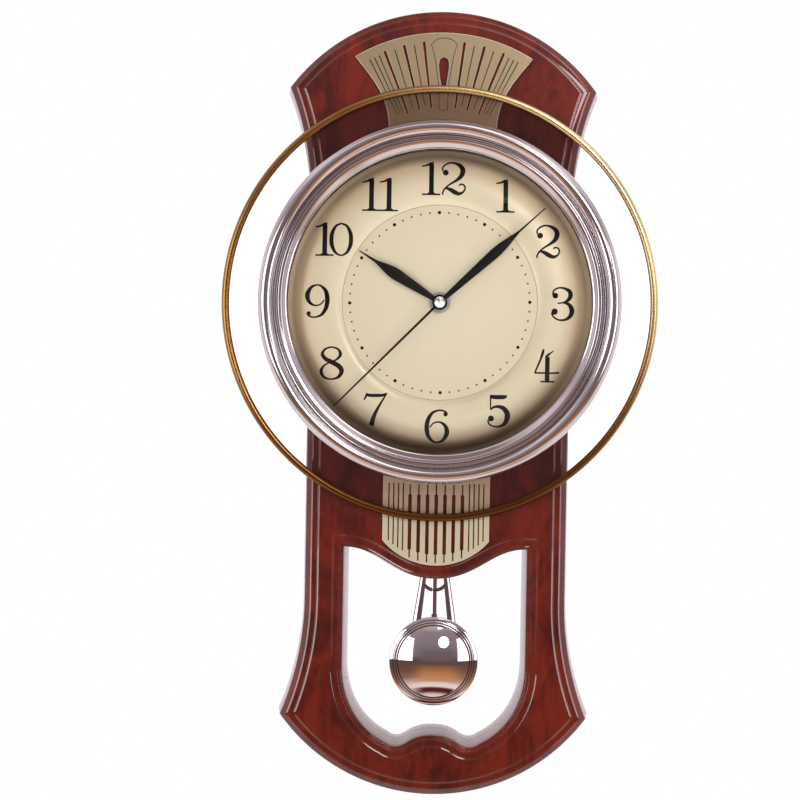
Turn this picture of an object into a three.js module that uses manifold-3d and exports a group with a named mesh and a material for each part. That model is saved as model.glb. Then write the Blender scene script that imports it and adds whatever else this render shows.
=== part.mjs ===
// Pendulum wall clock: a lacquered case with a serpentine window, slotted gilt plates, a smoked glass
// disc with a gilt rim, a chrome bezel over a champagne dial, and a quartz movement with a pendulum.
//
// Millimetres, +X right as seen from the front, +Y back to the wall, +Z up.
// The part's origin is the seat of the hanging keyhole, on the wall plane y = 0.
// Every sub-part is modelled round the hand arbor, at x = 0, z = 0, and the whole is lowered at the end.

import * as THREE from 'three';
import { ConvexGeometry } from 'three/addons/geometries/ConvexGeometry.js';
import { mergeVertices } from 'three/addons/utils/BufferGeometryUtils.js';
import Module from 'manifold-3d';

const wasm = await Module();
wasm.setup();

// ---------------------------------------------------------------- driving dimensions

const KEYHOLE_ABOVE_ARBOR = 201;
const FIT = 0.3; // gap left between neighbouring pieces

// Case: two equal arcs joined by flared sides.
const END_RADIUS = 150;
const TOP_ARC_Z = 82.2;
const BOTTOM_ARC_Z = -239.3;
const WAIST = 103.2; // half width between the flares
const CORNER = 121.4; // half width at the four corners
const TOP_FLARE_Z = 76; // where the upper flare leaves the straight side
const BOTTOM_FLARE_Z = -235;
const FACE_Y = -45; // front face of the case
const EDGE_Y = -37.4; // where the outer moulding ends and the side wall begins
const BOARD_BACK_Y = -31;
const FRAME_FRONT_Y = BOARD_BACK_Y + FIT;
const CASE_DRAFT = 0.09; // the outer walls spread towards the wall, per millimetre of depth
const RAIL = 18.3; // width of the side rails behind the dial
const TOP_RAIL = 24.3;
const TOP_JOINT_Z = 156;
const BOTTOM_JOINT_Z = -300;

// Window.
const WINDOW_HALF = 72.4;
const WINDOW_TOP_Z = -193.4; // its upper corners
const ARCH_BELLY_Z = -217.8;
const WINDOW_SIDE_END_Z = -286.8;
const WAVE_TOP_Z = -341.7;
const WINDOW_TAPER = 0.05; // the opening narrows towards the wall, per millimetre of depth

// Gilt plates, which lie on the face.
const PLATE_BACK_Y = FACE_Y - FIT;
const PLATE_FRONT_Y = PLATE_BACK_Y - 1.4;
const ENGRAVED = 0.5; // depth of the engraved lines
const FAN_CENTRE_Z = 79.6; // where the fan's rays would meet

// Dial, glass and bezel: radii round the arbor, and depths.
const GLASS_RADIUS = 167.9;
const GLASS_FRONT_Y = -51.6;
const GLASS_BACK_Y = -48.6;
const RIM_TUBE = 3.2;
const RIM_RADIUS = 168.7;
const RIM_SEGMENTS = 44;
const PAN_BACK_Y = -51.9;
const PAN_FLOOR_Y = -55;
const DIAL_Y = -60.8;
const DIAL_SHEET = 0.8;
const DIAL_CENTRE_RADIUS = 77; // the raised flat centre of the dial
const LIP_RADIUS = 118.6;
const LENS_RADIUS = 122.6;
const LENS_BACK_Y = -72;
const LENS_FRONT_Y = -74;
const BUSH_RADIUS = 4.7;
const BUSH_HOLE = 5.2;

// Movement and pendulum.
const MOVEMENT_FRONT_Y = -40;
const MOVEMENT_REAR_Y = -23.6;
const MOVEMENT_HALF = 28;
const MOVEMENT_TOP_Z = 28;
const MOVEMENT_BOTTOM_Z = -82;
const MOVEMENT_WALL = 1.6;
const BATTERY_Z = -25;
const BATTERY_Y = -31;
const BATTERY_RADIUS = 7.1;
const MINUTE_WHEEL = { x: 10.4, z: 6 };
const PIVOT_Z = -60;
const LEVER = { front: -29.5, rear: -27.5 };
const ROD = { front: -26.9, rear: -25.3 };
const COIL_Z = -71;
const PEG_Z = -89;
const BOB_Z = -284.8;
const BOB_RADIUS = 35.3;
const BOB_DOME = 28.6; // radius of the bob's mirror
// The frame's legs: half widths at the height where they leave the rod, and how fast they spread below.
const LEG = { topZ: -165, inner: 1.26, innerSlope: 0.105, outer: 3.5, outerSlope: 0.1545, flatShare: 0.6 };

// Hand angles, degrees clockwise from twelve.
const HOUR_ANGLE = 301.7;
const MINUTE_ANGLE = 47.3;
const SECOND_ANGLE = 224.6;

// ---------------------------------------------------------------- materials

const finish = (color, roughness, metalness, extra = {}) =>
  new THREE.MeshStandardMaterial({ color, roughness, metalness, ...extra });

const lacquer = () => finish(0x6a1e14, 0.22, 0);
const gilt = () => finish(0xc4ad84, 0.35, 0.8);
const rimGold = () => finish(0xb98637, 0.2, 1);
const chrome = () => finish(0xc9c3c6, 0.08, 1);
const champagne = () => finish(0xd9c9a6, 0.45, 0.3);
const smokedGlass = () => finish(0x8f7d78, 0.03, 0, { transparent: true, opacity: 0.3 });
const clearGlass = () => finish(0xf2f5f4, 0.02, 0, { transparent: true, opacity: 0.12 });
const blackPaint = () => finish(0x100c0b, 0.3, 0.2);
const blackPlastic = () => finish(0x17181a, 0.5, 0);
const greyPlastic = () => finish(0x3a3c40, 0.5, 0);
const whitePlastic = () => finish(0xe8e6df, 0.45, 0);
const zinc = () => finish(0xa7a9ab, 0.35, 1);
const copper = () => finish(0xb5603a, 0.35, 1);
const rubber = () => finish(0x1b1b1b, 0.8, 0);

// ---------------------------------------------------------------- shape helpers

const rad = THREE.MathUtils.degToRad;
const point = (x, z) => new THREE.Vector2(x, z);

function toSolid(geometry) {
  const bare = geometry.clone();
  bare.deleteAttribute('normal');
  bare.deleteAttribute('uv');
  const welded = mergeVertices(bare, 1e-4);
  const count = welded.attributes.position.count;
  const triVerts = welded.index
    ? Uint32Array.from(welded.index.array)
    : Uint32Array.from({ length: count }, (_, i) => i);
  const vertProperties = Float32Array.from(welded.attributes.position.array);
  return new wasm.Manifold(new wasm.Mesh({ numProp: 3, vertProperties, triVerts }));
}

function toGeometry(solid) {
  const mesh = solid.getMesh();
  const geometry = new THREE.BufferGeometry();
  geometry.setAttribute('position', new THREE.BufferAttribute(Float32Array.from(mesh.vertProperties), 3));
  geometry.setIndex(new THREE.BufferAttribute(Uint32Array.from(mesh.triVerts), 1));
  return geometry;
}

const cut = (base, ...tools) =>
  toGeometry(tools.reduce((solid, tool) => solid.subtract(toSolid(tool)), toSolid(base)));
const keep = (base, tool) => toGeometry(toSolid(base).intersect(toSolid(tool)));
const join = (base, ...more) =>
  toGeometry(more.reduce((solid, piece) => solid.add(toSolid(piece)), toSolid(base)));

/** Turns every face round when a closed surface came out inside out. */
function faceOut(geometry) {
  const p = geometry.attributes.position;
  const index = geometry.index.array;
  const [a, b, c] = [new THREE.Vector3(), new THREE.Vector3(), new THREE.Vector3()];
  let volume = 0;
  for (let i = 0; i < index.length; i += 3) {
    a.fromBufferAttribute(p, index[i]);
    b.fromBufferAttribute(p, index[i + 1]);
    c.fromBufferAttribute(p, index[i + 2]);
    volume += a.dot(b.cross(c));
  }
  if (volume < 0) {
    for (let i = 0; i < index.length; i += 3) {
      [index[i + 1], index[i + 2]] = [index[i + 2], index[i + 1]];
    }
  }
  return geometry;
}

/** A closed profile of [radius, y] pairs turned round the arbor. */
function revolve(profile, segments = 36) {
  const closed = profile[0][0] > 0 || profile[profile.length - 1][0] > 0;
  const points = profile.map(([r, y]) => point(r, y));
  if (closed) points.push(points[0].clone());
  const lathe = new THREE.LatheGeometry(points, segments);
  lathe.deleteAttribute('normal');
  lathe.deleteAttribute('uv');
  return faceOut(mergeVertices(lathe, 1e-4));
}

/** A flat shape drawn in x and z, from its front face to its back face. */
function plate(shape, front, back, curveSegments = 3) {
  const options = { depth: back - front, bevelEnabled: false, curveSegments };
  return new THREE.ExtrudeGeometry(shape, options).rotateX(Math.PI / 2).translate(0, back, 0);
}

const box = (x0, x1, y0, y1, z0, z1) =>
  new THREE.BoxGeometry(x1 - x0, y1 - y0, z1 - z0)
    .translate((x0 + x1) / 2, (y0 + y1) / 2, (z0 + z1) / 2);

/** A round bar along y, standing at x, z. */
const bar = (radius, front, back, x = 0, z = 0, segments = 12) =>
  new THREE.CylinderGeometry(radius, radius, back - front, segments)
    .translate(x, (front + back) / 2, z);

/** A round tube along y, standing at x, z. */
const tube = (outer, inner, front, back, x = 0, z = 0, segments = 16) =>
  revolve([[inner, front], [outer, front], [outer, back], [inner, back]], segments)
    .translate(x, 0, z);

function roundedRect(x0, x1, z0, z1, r) {
  const shape = new THREE.Shape();
  shape.moveTo(x0 + r, z0);
  shape.lineTo(x1 - r, z0);
  shape.absarc(x1 - r, z0 + r, r, -Math.PI / 2, 0);
  shape.lineTo(x1, z1 - r);
  shape.absarc(x1 - r, z1 - r, r, 0, Math.PI / 2);
  shape.lineTo(x0 + r, z1);
  shape.absarc(x0 + r, z1 - r, r, Math.PI / 2, Math.PI);
  shape.lineTo(x0, z0 + r);
  shape.absarc(x0 + r, z0 + r, r, Math.PI, Math.PI * 1.5);
  return shape;
}

function arc(cx, cz, r, from, to, steps) {
  return Array.from({ length: steps + 1 }, (_, i) => {
    const a = from + ((to - from) * i) / steps;
    return point(cx + r * Math.cos(a), cz + r * Math.sin(a));
  });
}

const withoutRepeats = (loop) =>
  loop.filter((p, i) => p.distanceTo(loop[(i + 1) % loop.length]) > 1e-3);
const mirrored = (points) => points.map((p) => point(-p.x, p.y)).reverse();

/** Moves a counter-clockwise loop outwards by a distance, with mitred corners. */
function offsetLoop(loop, distance) {
  return loop.map((p, i) => {
    const before = p.clone().sub(loop[(i + loop.length - 1) % loop.length]).normalize();
    const after = loop[(i + 1) % loop.length].clone().sub(p).normalize();
    const mitre = point(before.y + after.y, -before.x - after.x);
    mitre.divideScalar(1 + before.dot(after));
    return p.clone().addScaledVector(mitre, distance);
  });
}

/**
 * A panel with an optional opening. Each ring is a loop at one depth; the first ring of the outline and
 * of the opening bound the front face, the last rings bound the back face.
 */
function panel(outlineRings, openingRings = []) {
  const positions = [];
  const indices = [];
  const place = (rings) => rings.map(({ loop, y }) => {
    const first = positions.length / 3;
    loop.forEach((p) => positions.push(p.x, y, p.y));
    return first;
  });
  const wall = (starts, count, inner) => {
    for (let k = 0; k + 1 < starts.length; k++) {
      for (let i = 0; i < count; i++) {
        const j = (i + 1) % count;
        const [a, b] = [starts[k] + i, starts[k] + j];
        const [d, c] = [starts[k + 1] + i, starts[k + 1] + j];
        if (inner) indices.push(a, b, c, a, c, d);
        else indices.push(b, a, d, b, d, c);
      }
    }
  };
  const cap = (outer, outerStart, hole, holeStart, front) => {
    const holes = hole ? [hole] : [];
    const flat = [...outer, ...(hole ?? [])];
    const at = (i) => (i < outer.length ? outerStart + i : holeStart + i - outer.length);
    for (const [a, b, c] of THREE.ShapeUtils.triangulateShape([...outer], holes.map((h) => [...h]))) {
      const turn = flat[b].clone().sub(flat[a]).cross(flat[c].clone().sub(flat[a]));
      if (turn > 0 === front) indices.push(at(a), at(b), at(c));
      else indices.push(at(a), at(c), at(b));
    }
  };
  const outer = place(outlineRings);
  const inner = place(openingRings);
  wall(outer, outlineRings[0].loop.length, false);
  if (inner.length) wall(inner, openingRings[0].loop.length, true);
  cap(outlineRings[0].loop, outer[0], openingRings[0]?.loop, inner[0], true);
  cap(outlineRings.at(-1).loop, outer.at(-1), openingRings.at(-1)?.loop, inner.at(-1), false);
  const geometry = new THREE.BufferGeometry();
  geometry.setAttribute('position', new THREE.Float32BufferAttribute(positions, 3));
  geometry.setIndex(indices);
  return geometry;
}

const ringsOf = (loop, profile, sign) =>
  profile.map(([distance, y]) => ({ loop: offsetLoop(loop, sign * distance), y }));

// ---------------------------------------------------------------- case outlines

/** The right side from the lower corner up to the upper corner: flare, straight, flare. */
function caseSide() {
  const reach = CORNER - WAIST;
  const drop = Math.sqrt(END_RADIUS ** 2 - CORNER ** 2);
  const flare = (startZ, cornerZ) => {
    const rise = Math.abs(cornerZ - startZ);
    const radius = (rise ** 2 + reach ** 2) / (2 * reach);
    return { radius, angle: Math.asin(rise / radius) };
  };
  const low = flare(BOTTOM_FLARE_Z, BOTTOM_ARC_Z - drop);
  const high = flare(TOP_FLARE_Z, TOP_ARC_Z + drop);
  return [
    ...arc(WAIST + low.radius, BOTTOM_FLARE_Z, low.radius, Math.PI + low.angle, Math.PI, 7),
    ...arc(WAIST + high.radius, TOP_FLARE_Z, high.radius, Math.PI, Math.PI - high.angle, 7),
  ];
}

const cornerAngle = Math.acos(CORNER / END_RADIUS);
const topArc = () => arc(0, TOP_ARC_Z, END_RADIUS, cornerAngle, Math.PI - cornerAngle, 16);
const bottomArc = () =>
  arc(0, BOTTOM_ARC_Z, END_RADIUS, Math.PI + cornerAngle, 2 * Math.PI - cornerAngle, 16);

const caseLoop = () =>
  withoutRepeats([...bottomArc(), ...caseSide(), ...topArc(), ...mirrored(caseSide())]);

/** The right half of the window from the top of the wave, down its trough, up the side and along the arch. */
function windowHalf() {
  const path = new THREE.Path();
  path.moveTo(0, WAVE_TOP_Z);
  path.bezierCurveTo(8, WAVE_TOP_Z, 12, -342.7, 18.8, -346.6);
  path.bezierCurveTo(26.8, -352.6, 32.2, -351.6, 37.3, -347.9);
  path.bezierCurveTo(54.5, -339.8, WINDOW_HALF, -320.1, WINDOW_HALF, WINDOW_SIDE_END_Z);
  path.lineTo(WINDOW_HALF, WINDOW_TOP_Z);
  path.bezierCurveTo(44, WINDOW_TOP_Z, 34, ARCH_BELLY_Z, 0, ARCH_BELLY_Z);
  return path.getPoints(5);
}

const windowLoop = () => withoutRepeats([...windowHalf(), ...mirrored(windowHalf())]);
const taperAt = (y) => -WINDOW_TAPER * (y - FACE_Y);
const flankAt = (y) => CASE_DRAFT * (y - EDGE_Y);

// ---------------------------------------------------------------- case

function caseFront() {
  const edge = [
    [10.6, FACE_Y], [10, -43.7], [8.6, -43.9], [6.4, -43.6], [4.5, -42.5],
    [4.1, -41], [3, -40.7], [1, -39.5], [0, EDGE_Y], [-flankAt(BOARD_BACK_Y), BOARD_BACK_Y],
  ];
  const windowEdge = [
    [8.8, FACE_Y], [8.3, -44.2], [7.8, -44.9], [3.5, -44.8], [3.2, -44],
    [1.8, -43.7], [1.5, -42.8], [0, -42.2], [taperAt(BOARD_BACK_Y), BOARD_BACK_Y],
  ];
  const board = panel(ringsOf(caseLoop(), edge, -1), ringsOf(windowLoop(), windowEdge, 1));
  const room = MOVEMENT_HALF + 3;
  const pocket = box(-room, room, -42, -20, MOVEMENT_BOTTOM_Z - 4, MOVEMENT_TOP_Z + 3);
  return cut(board, pocket, bar(BUSH_HOLE, -50, -30));
}

/** The cavity behind the board: the window's lower curve, straight sides, and an arc under the top rail. */
function cavityLoop() {
  const reach = END_RADIUS - TOP_RAIL;
  const end = Math.asin((TOP_JOINT_Z - TOP_ARC_Z) / reach);
  const half = [
    ...windowHalf().filter((p) => p.y < WINDOW_SIDE_END_Z + 1),
    point(WINDOW_HALF, WINDOW_TOP_Z + 6), point(WAIST - RAIL, WINDOW_TOP_Z + 14),
    point(WAIST - RAIL, TOP_JOINT_Z - 60), ...arc(0, TOP_ARC_Z, reach, end, Math.PI / 2, 10),
  ];
  return withoutRepeats([...half, ...mirrored(half)]);
}

/** One rail: the part of the rear frame between two heights and two sides. */
function frameRail(bottom, top, left = -200, right = 200) {
  const outside = [FRAME_FRONT_Y, 0].map((y) => [flankAt(y), y]);
  const inside = [FRAME_FRONT_Y, 0].map((y) => [taperAt(y), y]);
  const frame = panel(ringsOf(caseLoop(), outside, 1), ringsOf(cavityLoop(), inside, 1));
  return keep(frame, box(left, right, FRAME_FRONT_Y - 1, 1, bottom, top));
}

const sideRail = (left, right) =>
  frameRail(BOTTOM_JOINT_Z + FIT / 2, TOP_JOINT_Z - FIT / 2, left, right);
const bottomRail = () => frameRail(-450, BOTTOM_JOINT_Z - FIT / 2);

function topRail() {
  const recess = box(-22.3, 22.3, -1.7, 5, 190, 224.3);
  const screwHoles = [-14, 14].map((x) => bar(1.6, -12, 0, x, 216));
  return cut(frameRail(TOP_JOINT_Z + FIT / 2, 300), recess, ...screwHoles);
}

/** Steel plate with the keyhole, let into the back of the top rail and hanging over the open cavity. */
function hangerPlate() {
  const shape = roundedRect(-22, 22, 184, 224, 3);
  const slot = new THREE.Path();
  const neck = Math.asin(2.4 / 4.6);
  slot.absarc(0, 192, 4.6, Math.PI / 2 + neck, Math.PI / 2 - neck + 2 * Math.PI);
  slot.lineTo(2.4, KEYHOLE_ABOVE_ARBOR);
  slot.absarc(0, KEYHOLE_ABOVE_ARBOR, 2.4, 0, Math.PI);
  shape.holes.push(slot);
  const sinks = [-14, 14].map((x) =>
    revolve([[0, -2], [2, -2], [2, -1.5], [3.7, -0.1], [3.7, 1], [0, 1]], 16).translate(x, 0, 216));
  return cut(plate(shape, -1.4, -0.2, 6), ...sinks);
}

const woodScrew = (x, z) =>
  revolve([[0, -10], [1.2, -7.5], [1.3, -2.2], [1.7, -1.5], [1.7, -0.9], [3.2, -0.1], [0, -0.1]], 16)
    .translate(x, 0, z);

// ---------------------------------------------------------------- gilt plates

/** Cutter for a slot along one of the fan's rays, with a pointed end. */
function fanSlot(angle, inner, outer, halfAngle, depth) {
  const dir = (a, r) => point(r * Math.sin(rad(a)), FAN_CENTRE_Z + r * Math.cos(rad(a)));
  const [a0, a1] = [angle - halfAngle, angle + halfAngle];
  const shape = new THREE.Shape([
    dir(a0, inner), dir(a0, outer), dir(angle, outer + 1.1), dir(a1, outer), dir(a1, inner),
  ]);
  return plate(shape, PLATE_FRONT_Y - 1, PLATE_FRONT_Y + depth);
}

/** Cutter for the engraved line round the teardrop. */
function shieldGroove() {
  const path = new THREE.Path();
  path.moveTo(2.9, 153);
  path.lineTo(3.8, 174);
  path.lineTo(6, 188);
  path.bezierCurveTo(7.4, 197, 8.6, 202, 10.2, 204.4);
  path.bezierCurveTo(7, 208.6, 3.5, 209.4, 0, 209.4);
  const half = path.getPoints(4);
  const loop = withoutRepeats([...half, ...mirrored(half)]);
  const floor = PLATE_FRONT_Y + ENGRAVED;
  const wide = plate(new THREE.Shape(offsetLoop(loop, 0.4)), PLATE_FRONT_Y - 1, floor);
  return cut(wide, plate(new THREE.Shape(loop), PLATE_FRONT_Y - 2, floor + 1));
}

function topPlate() {
  const radius = 134.4;
  const tip = point(70.2, 194.2);
  const sweep = Math.atan2(tip.x, tip.y - FAN_CENTRE_Z);
  const shape = new THREE.Shape();
  shape.moveTo(-42.5, 118);
  shape.lineTo(42.5, 118);
  shape.lineTo(42.5, 137);
  shape.bezierCurveTo(43, 165, 58, 178, tip.x, tip.y);
  shape.absarc(0, FAN_CENTRE_Z, radius, Math.PI / 2 - sweep, Math.PI / 2 + sweep, false);
  shape.bezierCurveTo(-58, 178, -43, 165, -42.5, 137);
  const drop = new THREE.Path();
  drop.moveTo(0, 194.4);
  drop.bezierCurveTo(5.6, 194.4, 4.2, 186, 2.6, 176);
  drop.lineTo(1, 167);
  drop.lineTo(-1, 167);
  drop.lineTo(-2.6, 176);
  drop.bezierCurveTo(-4.2, 186, -5.6, 194.4, 0, 194.4);
  shape.holes.push(drop);
  const cuts = [shieldGroove()];
  for (const side of [-1, 1]) {
    for (const angle of [7.2, 14.4, 21.6]) cuts.push(fanSlot(side * angle, 75, 127.5, 0.55, 3));
    for (const angle of [10.8, 18, 24, 25.8, 27.6]) {
      cuts.push(fanSlot(side * angle, 78, 126, 0.16, ENGRAVED));
    }
  }
  return cut(plate(shape, PLATE_FRONT_Y, PLATE_BACK_Y, 12), ...cuts);
}

function bottomPlate() {
  const half = 42.2;
  const [sideZ, bellyZ] = [-187.5, -207];
  const radius = (half ** 2 + (sideZ - bellyZ) ** 2) / (2 * (sideZ - bellyZ));
  const sweep = Math.asin(half / radius);
  const shape = new THREE.Shape();
  shape.moveTo(-half, -126);
  shape.lineTo(-half, sideZ);
  shape.absarc(0, bellyZ + radius, radius, -Math.PI / 2 - sweep, -Math.PI / 2 + sweep, false);
  shape.lineTo(half, -126);
  const pitch = 6.9;
  const arcZ = (x, lift) => bellyZ + radius + lift - Math.sqrt(radius ** 2 - x ** 2);
  const slit = (x, halfWidth, z0, z1) =>
    box(x - halfWidth, x + halfWidth, PLATE_FRONT_Y - 1, PLATE_BACK_Y + 1, z0, z1);
  const cuts = [];
  for (let i = -3; i <= 3; i++) {
    const x = i * pitch;
    cuts.push(slit(x, 1.3, arcZ(x, 8.6), -151), slit(x, 0.4, arcZ(x, 2), -143));
  }
  for (let i = 0; i < 4; i++) {
    for (const side of [-1, 1]) {
      const x = side * (26.1 + i * 3.77);
      cuts.push(slit(x, 0.4, arcZ(x, 5), -142));
    }
  }
  return cut(plate(shape, PLATE_FRONT_Y, PLATE_BACK_Y, 16), ...cuts);
}

// ---------------------------------------------------------------- glass disc, rim, pan, dial and bezel

const glassDisc = () => tube(GLASS_RADIUS, 29, GLASS_FRONT_Y, GLASS_BACK_Y, 0, 0, RIM_SEGMENTS);
const glassSpacer = () => tube(60, 29.5, GLASS_BACK_Y + FIT, FACE_Y - FIT, 0, 0, 28);

/** Round gilt tube with an inner groove that holds the edge of the glass. */
function rimRing() {
  const centre = (GLASS_FRONT_Y + GLASS_BACK_Y) / 2;
  const mouth = Math.asin(1.8 / RIM_TUBE);
  const steps = 8;
  const profile = Array.from({ length: steps + 1 }, (_, i) => {
    const a = Math.PI + mouth + ((2 * Math.PI - 2 * mouth) * i) / steps;
    return [RIM_RADIUS + RIM_TUBE * Math.cos(a), centre + RIM_TUBE * Math.sin(a)];
  });
  profile.push([GLASS_RADIUS + FIT, centre + 1.8], [GLASS_RADIUS + FIT, centre - 1.8]);
  return revolve(profile, RIM_SEGMENTS);
}

const dialPan = () => revolve([
  [BUSH_HOLE, FACE_Y - FIT], [28.5, FACE_Y - FIT], [28.5, PAN_BACK_Y], [137.6, PAN_BACK_Y],
  [137.6, -70], [135.2, -70], [135.2, PAN_FLOOR_Y], [LENS_RADIUS, PAN_FLOOR_Y],
  [LENS_RADIUS, LENS_BACK_Y + FIT], [119.6, LENS_BACK_Y + FIT], [119.6, -56.1], [115.5, -56.1],
  [115.5, PAN_FLOOR_Y], [12, PAN_FLOOR_Y], [12, DIAL_Y + DIAL_SHEET + FIT],
  [BUSH_HOLE, DIAL_Y + DIAL_SHEET + FIT],
]);

/** Pressed sheet: flat centre, a bulged chapter ring, and a flat outer flange. */
function dialPlate() {
  const bulge = [[88, -62.9], [98, -62.2], [107, -60.2], [115.2, -57.2]];
  const front = [
    [BUSH_HOLE, DIAL_Y], [DIAL_CENTRE_RADIUS, DIAL_Y], [DIAL_CENTRE_RADIUS + 1.5, -62],
    ...bulge, [119.3, -57.2],
  ];
  const back = [...front].reverse().map(([r, y]) => [r, y + DIAL_SHEET]);
  return revolve([...front, ...back]);
}

function bezel() {
  const tube = { r: 133.8, y: -75.2, radius: 7.4 };
  const crown = [0, 30, 60, 90, 120, 150, 162].map((degrees) => {
    const a = rad(degrees);
    return [tube.r + tube.radius * Math.cos(a), tube.y - tube.radius * Math.sin(a)];
  });
  return revolve([
    [141.2, -52.4], ...crown, [126.1, -77.3], [125.5, -79], [124.4, -79.4],
    [122.4, -78.2], [120.4, -76.6], [119, -75.8], [LIP_RADIUS, -75.3],
    [LIP_RADIUS, LENS_FRONT_Y - FIT], [127.6, LENS_FRONT_Y - FIT],
    [129.4, -78], [133.8, -80.3], [138.6, -74], [138.6, -52.4],
  ]);
}

/** Slightly domed lens with a flat land under the bezel's lip. */
function dialLens() {
  const dome = [[0, 1.6], [60, 1.2], [117, 0], [LENS_RADIUS, 0]];
  const front = dome.map(([r, rise]) => [r, LENS_FRONT_Y - rise]);
  const back = dome.map(([r, rise]) => [r, LENS_BACK_Y - rise]).reverse();
  return revolve([...front, ...back], 40);
}

// ---------------------------------------------------------------- hands

/** A hand pointing to twelve: an outline of [half width, height] pairs over a round hub with a bore. */
function hand(outline, hubRadius, bore, front, back, tail = []) {
  const right = outline.map(([x, z]) => point(x, z));
  const left = tail.map(([x, z]) => point(x, z));
  const half = [...left, ...right];
  const shape = new THREE.Shape(withoutRepeats([...half, ...mirrored(half)]));
  const hub = bar(hubRadius, front, back, 0, 0, 24);
  return cut(join(plate(shape, front, back), hub), bar(bore, front - 1, back + 1, 0, 0, 24));
}

/**
 * Leaf hand, by [height, half width] pairs: it swells from the hub to its widest part, falls to the neck
 * of the needle and ends in a narrow tip.
 */
function leaf(root, widest, neck, tip) {
  const start = 5;
  const rise = Array.from({ length: 6 }, (_, i) => {
    const t = i / 6;
    return [root + (widest[1] - root) * t ** 0.87, start + (widest[0] - start) * t];
  });
  const fall = Array.from({ length: 7 }, (_, i) => {
    const t = i / 6;
    const halfWidth = neck[1] + (widest[1] - neck[1]) * Math.cos((Math.PI / 2) * t) ** 1.35;
    return [halfWidth, widest[0] + (neck[0] - widest[0]) * t];
  });
  return [[root, 0], ...rise, ...fall, [tip[1], tip[0]]];
}

const hourHand = () => hand(leaf(1.9, [40, 4.7], [60, 1.15], [74.8, 0.4]), 5.2, 2.6, -65, -64.4);
const minuteHand = () => hand(leaf(1.8, [57, 4], [84, 0.75], [110.5, 0.45]), 6, 1.7, -66.8, -66.2);
const secondHand = () =>
  hand([[0.95, 4], [0.8, 60], [0.6, 116]], 4.6, 0.6, -68.6, -68.1, [[1.5, -26], [1.4, -14], [1, -6]]);
const handCap = () =>
  revolve([[0, -70.9], [1.6, -70.7], [3, -70.1], [4, -69.3], [4.4, -68.9], [0, -68.9]], 20);

// ---------------------------------------------------------------- movement

/** Front tray of the movement: floor, walls, two cross ribs round the battery bay, and the threaded bush. */
function movementHousing() {
  const [half, top, bottom, wall] = [MOVEMENT_HALF, MOVEMENT_TOP_Z, MOVEMENT_BOTTOM_Z, MOVEMENT_WALL];
  const floorBack = MOVEMENT_FRONT_Y + wall;
  const body = plate(roundedRect(-half, half, bottom, top, 4), MOVEMENT_FRONT_Y, MOVEMENT_REAR_Y);
  const room = (z0, z1) =>
    plate(roundedRect(-half + wall, half - wall, z0, z1, 2), floorBack, MOVEMENT_REAR_Y + 1);
  const bay = BATTERY_RADIUS + 1;
  const rooms = [
    room(BATTERY_Z + bay + 1.4, top - wall),
    room(BATTERY_Z - bay, BATTERY_Z + bay),
    room(bottom + wall, BATTERY_Z - bay - 1.4),
  ];
  const leverSlot = box(-8, 8, -33, -20, bottom - 1, bottom + 3);
  const bush = bar(BUSH_RADIUS, -64.2, MOVEMENT_FRONT_Y + 0.5, 0, 0, 20);
  const bore = bar(2.9, -70, -30);
  return cut(join(cut(body, ...rooms, leverSlot), bush), bore);
}

function movementCover() {
  const shape = roundedRect(-MOVEMENT_HALF, MOVEMENT_HALF, MOVEMENT_BOTTOM_Z, MOVEMENT_TOP_Z, 4);
  const cover = plate(shape, MOVEMENT_REAR_Y + FIT, MOVEMENT_REAR_Y + FIT + 1.6);
  const bay = box(-26, 26, -30, -15, BATTERY_Z - 8, BATTERY_Z + 8);
  const knobHole = bar(2.2, -30, -15, MINUTE_WHEEL.x, MINUTE_WHEEL.z);
  const leverSlot = box(-8, 8, -30, -15, MOVEMENT_BOTTOM_Z - 1, MOVEMENT_BOTTOM_Z + 12);
  const vents = [-15, -12, -9].map((x) => box(x - 0.6, x + 0.6, -30, -15, 8, 20));
  return cut(cover, bay, knobHole, leverSlot, ...vents);
}

/** AA cell lying across the bay, its raised terminal to the right. */
const battery = () =>
  revolve([
    [0, -25], [6.9, -25], [BATTERY_RADIUS, -24.7], [BATTERY_RADIUS, 23],
    [6.6, 23.4], [2.8, 23.4], [2.7, 24.4], [0, 24.4],
  ], 20).rotateZ(-Math.PI / 2).translate(-0.3, BATTERY_Y, BATTERY_Z);

const positiveContact = () => box(25.0, 25.5, -36, -25, BATTERY_Z - 5, BATTERY_Z + 5);

/** Flat-wound negative spring, as a stepped cone against the left wall. */
const negativeContact = () =>
  revolve([[0, 0], [2.2, 0], [4.6, -0.6], [4.6, -0.9], [0, -0.9]], 20)
    .rotateZ(Math.PI / 2).translate(-26.3, BATTERY_Y, BATTERY_Z);

const rubberGasket = () => tube(10, BUSH_HOLE, -41.7, -40.3);
const bushWasher = () => tube(8.3, BUSH_HOLE, -61.6, -61.1, 0, 0, 24);

const bushNut = () => tube(7.6, BUSH_RADIUS + FIT, -64, -61.9, 0, 0, 24);

/** Knurled setting knob on the shaft of the minute wheel. */
function timeSetKnob() {
  const points = Array.from({ length: 36 }, (_, i) => {
    const r = i % 2 ? 5.3 : 5.8;
    const a = (2 * Math.PI * i) / 36;
    return point(r * Math.cos(a), r * Math.sin(a));
  });
  const knob = plate(new THREE.Shape(points), -21.3, -17);
  return join(knob, bar(1.4, -37.5, -18, 0, 0, 16)).translate(MINUTE_WHEEL.x, 0, MINUTE_WHEEL.z);
}

const hourPipe = () => join(tube(2.5, 1.95, -66, -36.4), tube(7.5, 1.95, -37.6, -36.4));
const minutePipe = () => join(tube(1.65, 0.95, -67.6, -33.4), tube(6.5, 0.95, -34.6, -33.4));
const secondShaft = () => join(bar(0.5, -68.8, -27, 0, 0, 12), bar(7, -31.6, -30.6));

// ---------------------------------------------------------------- pendulum

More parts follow.
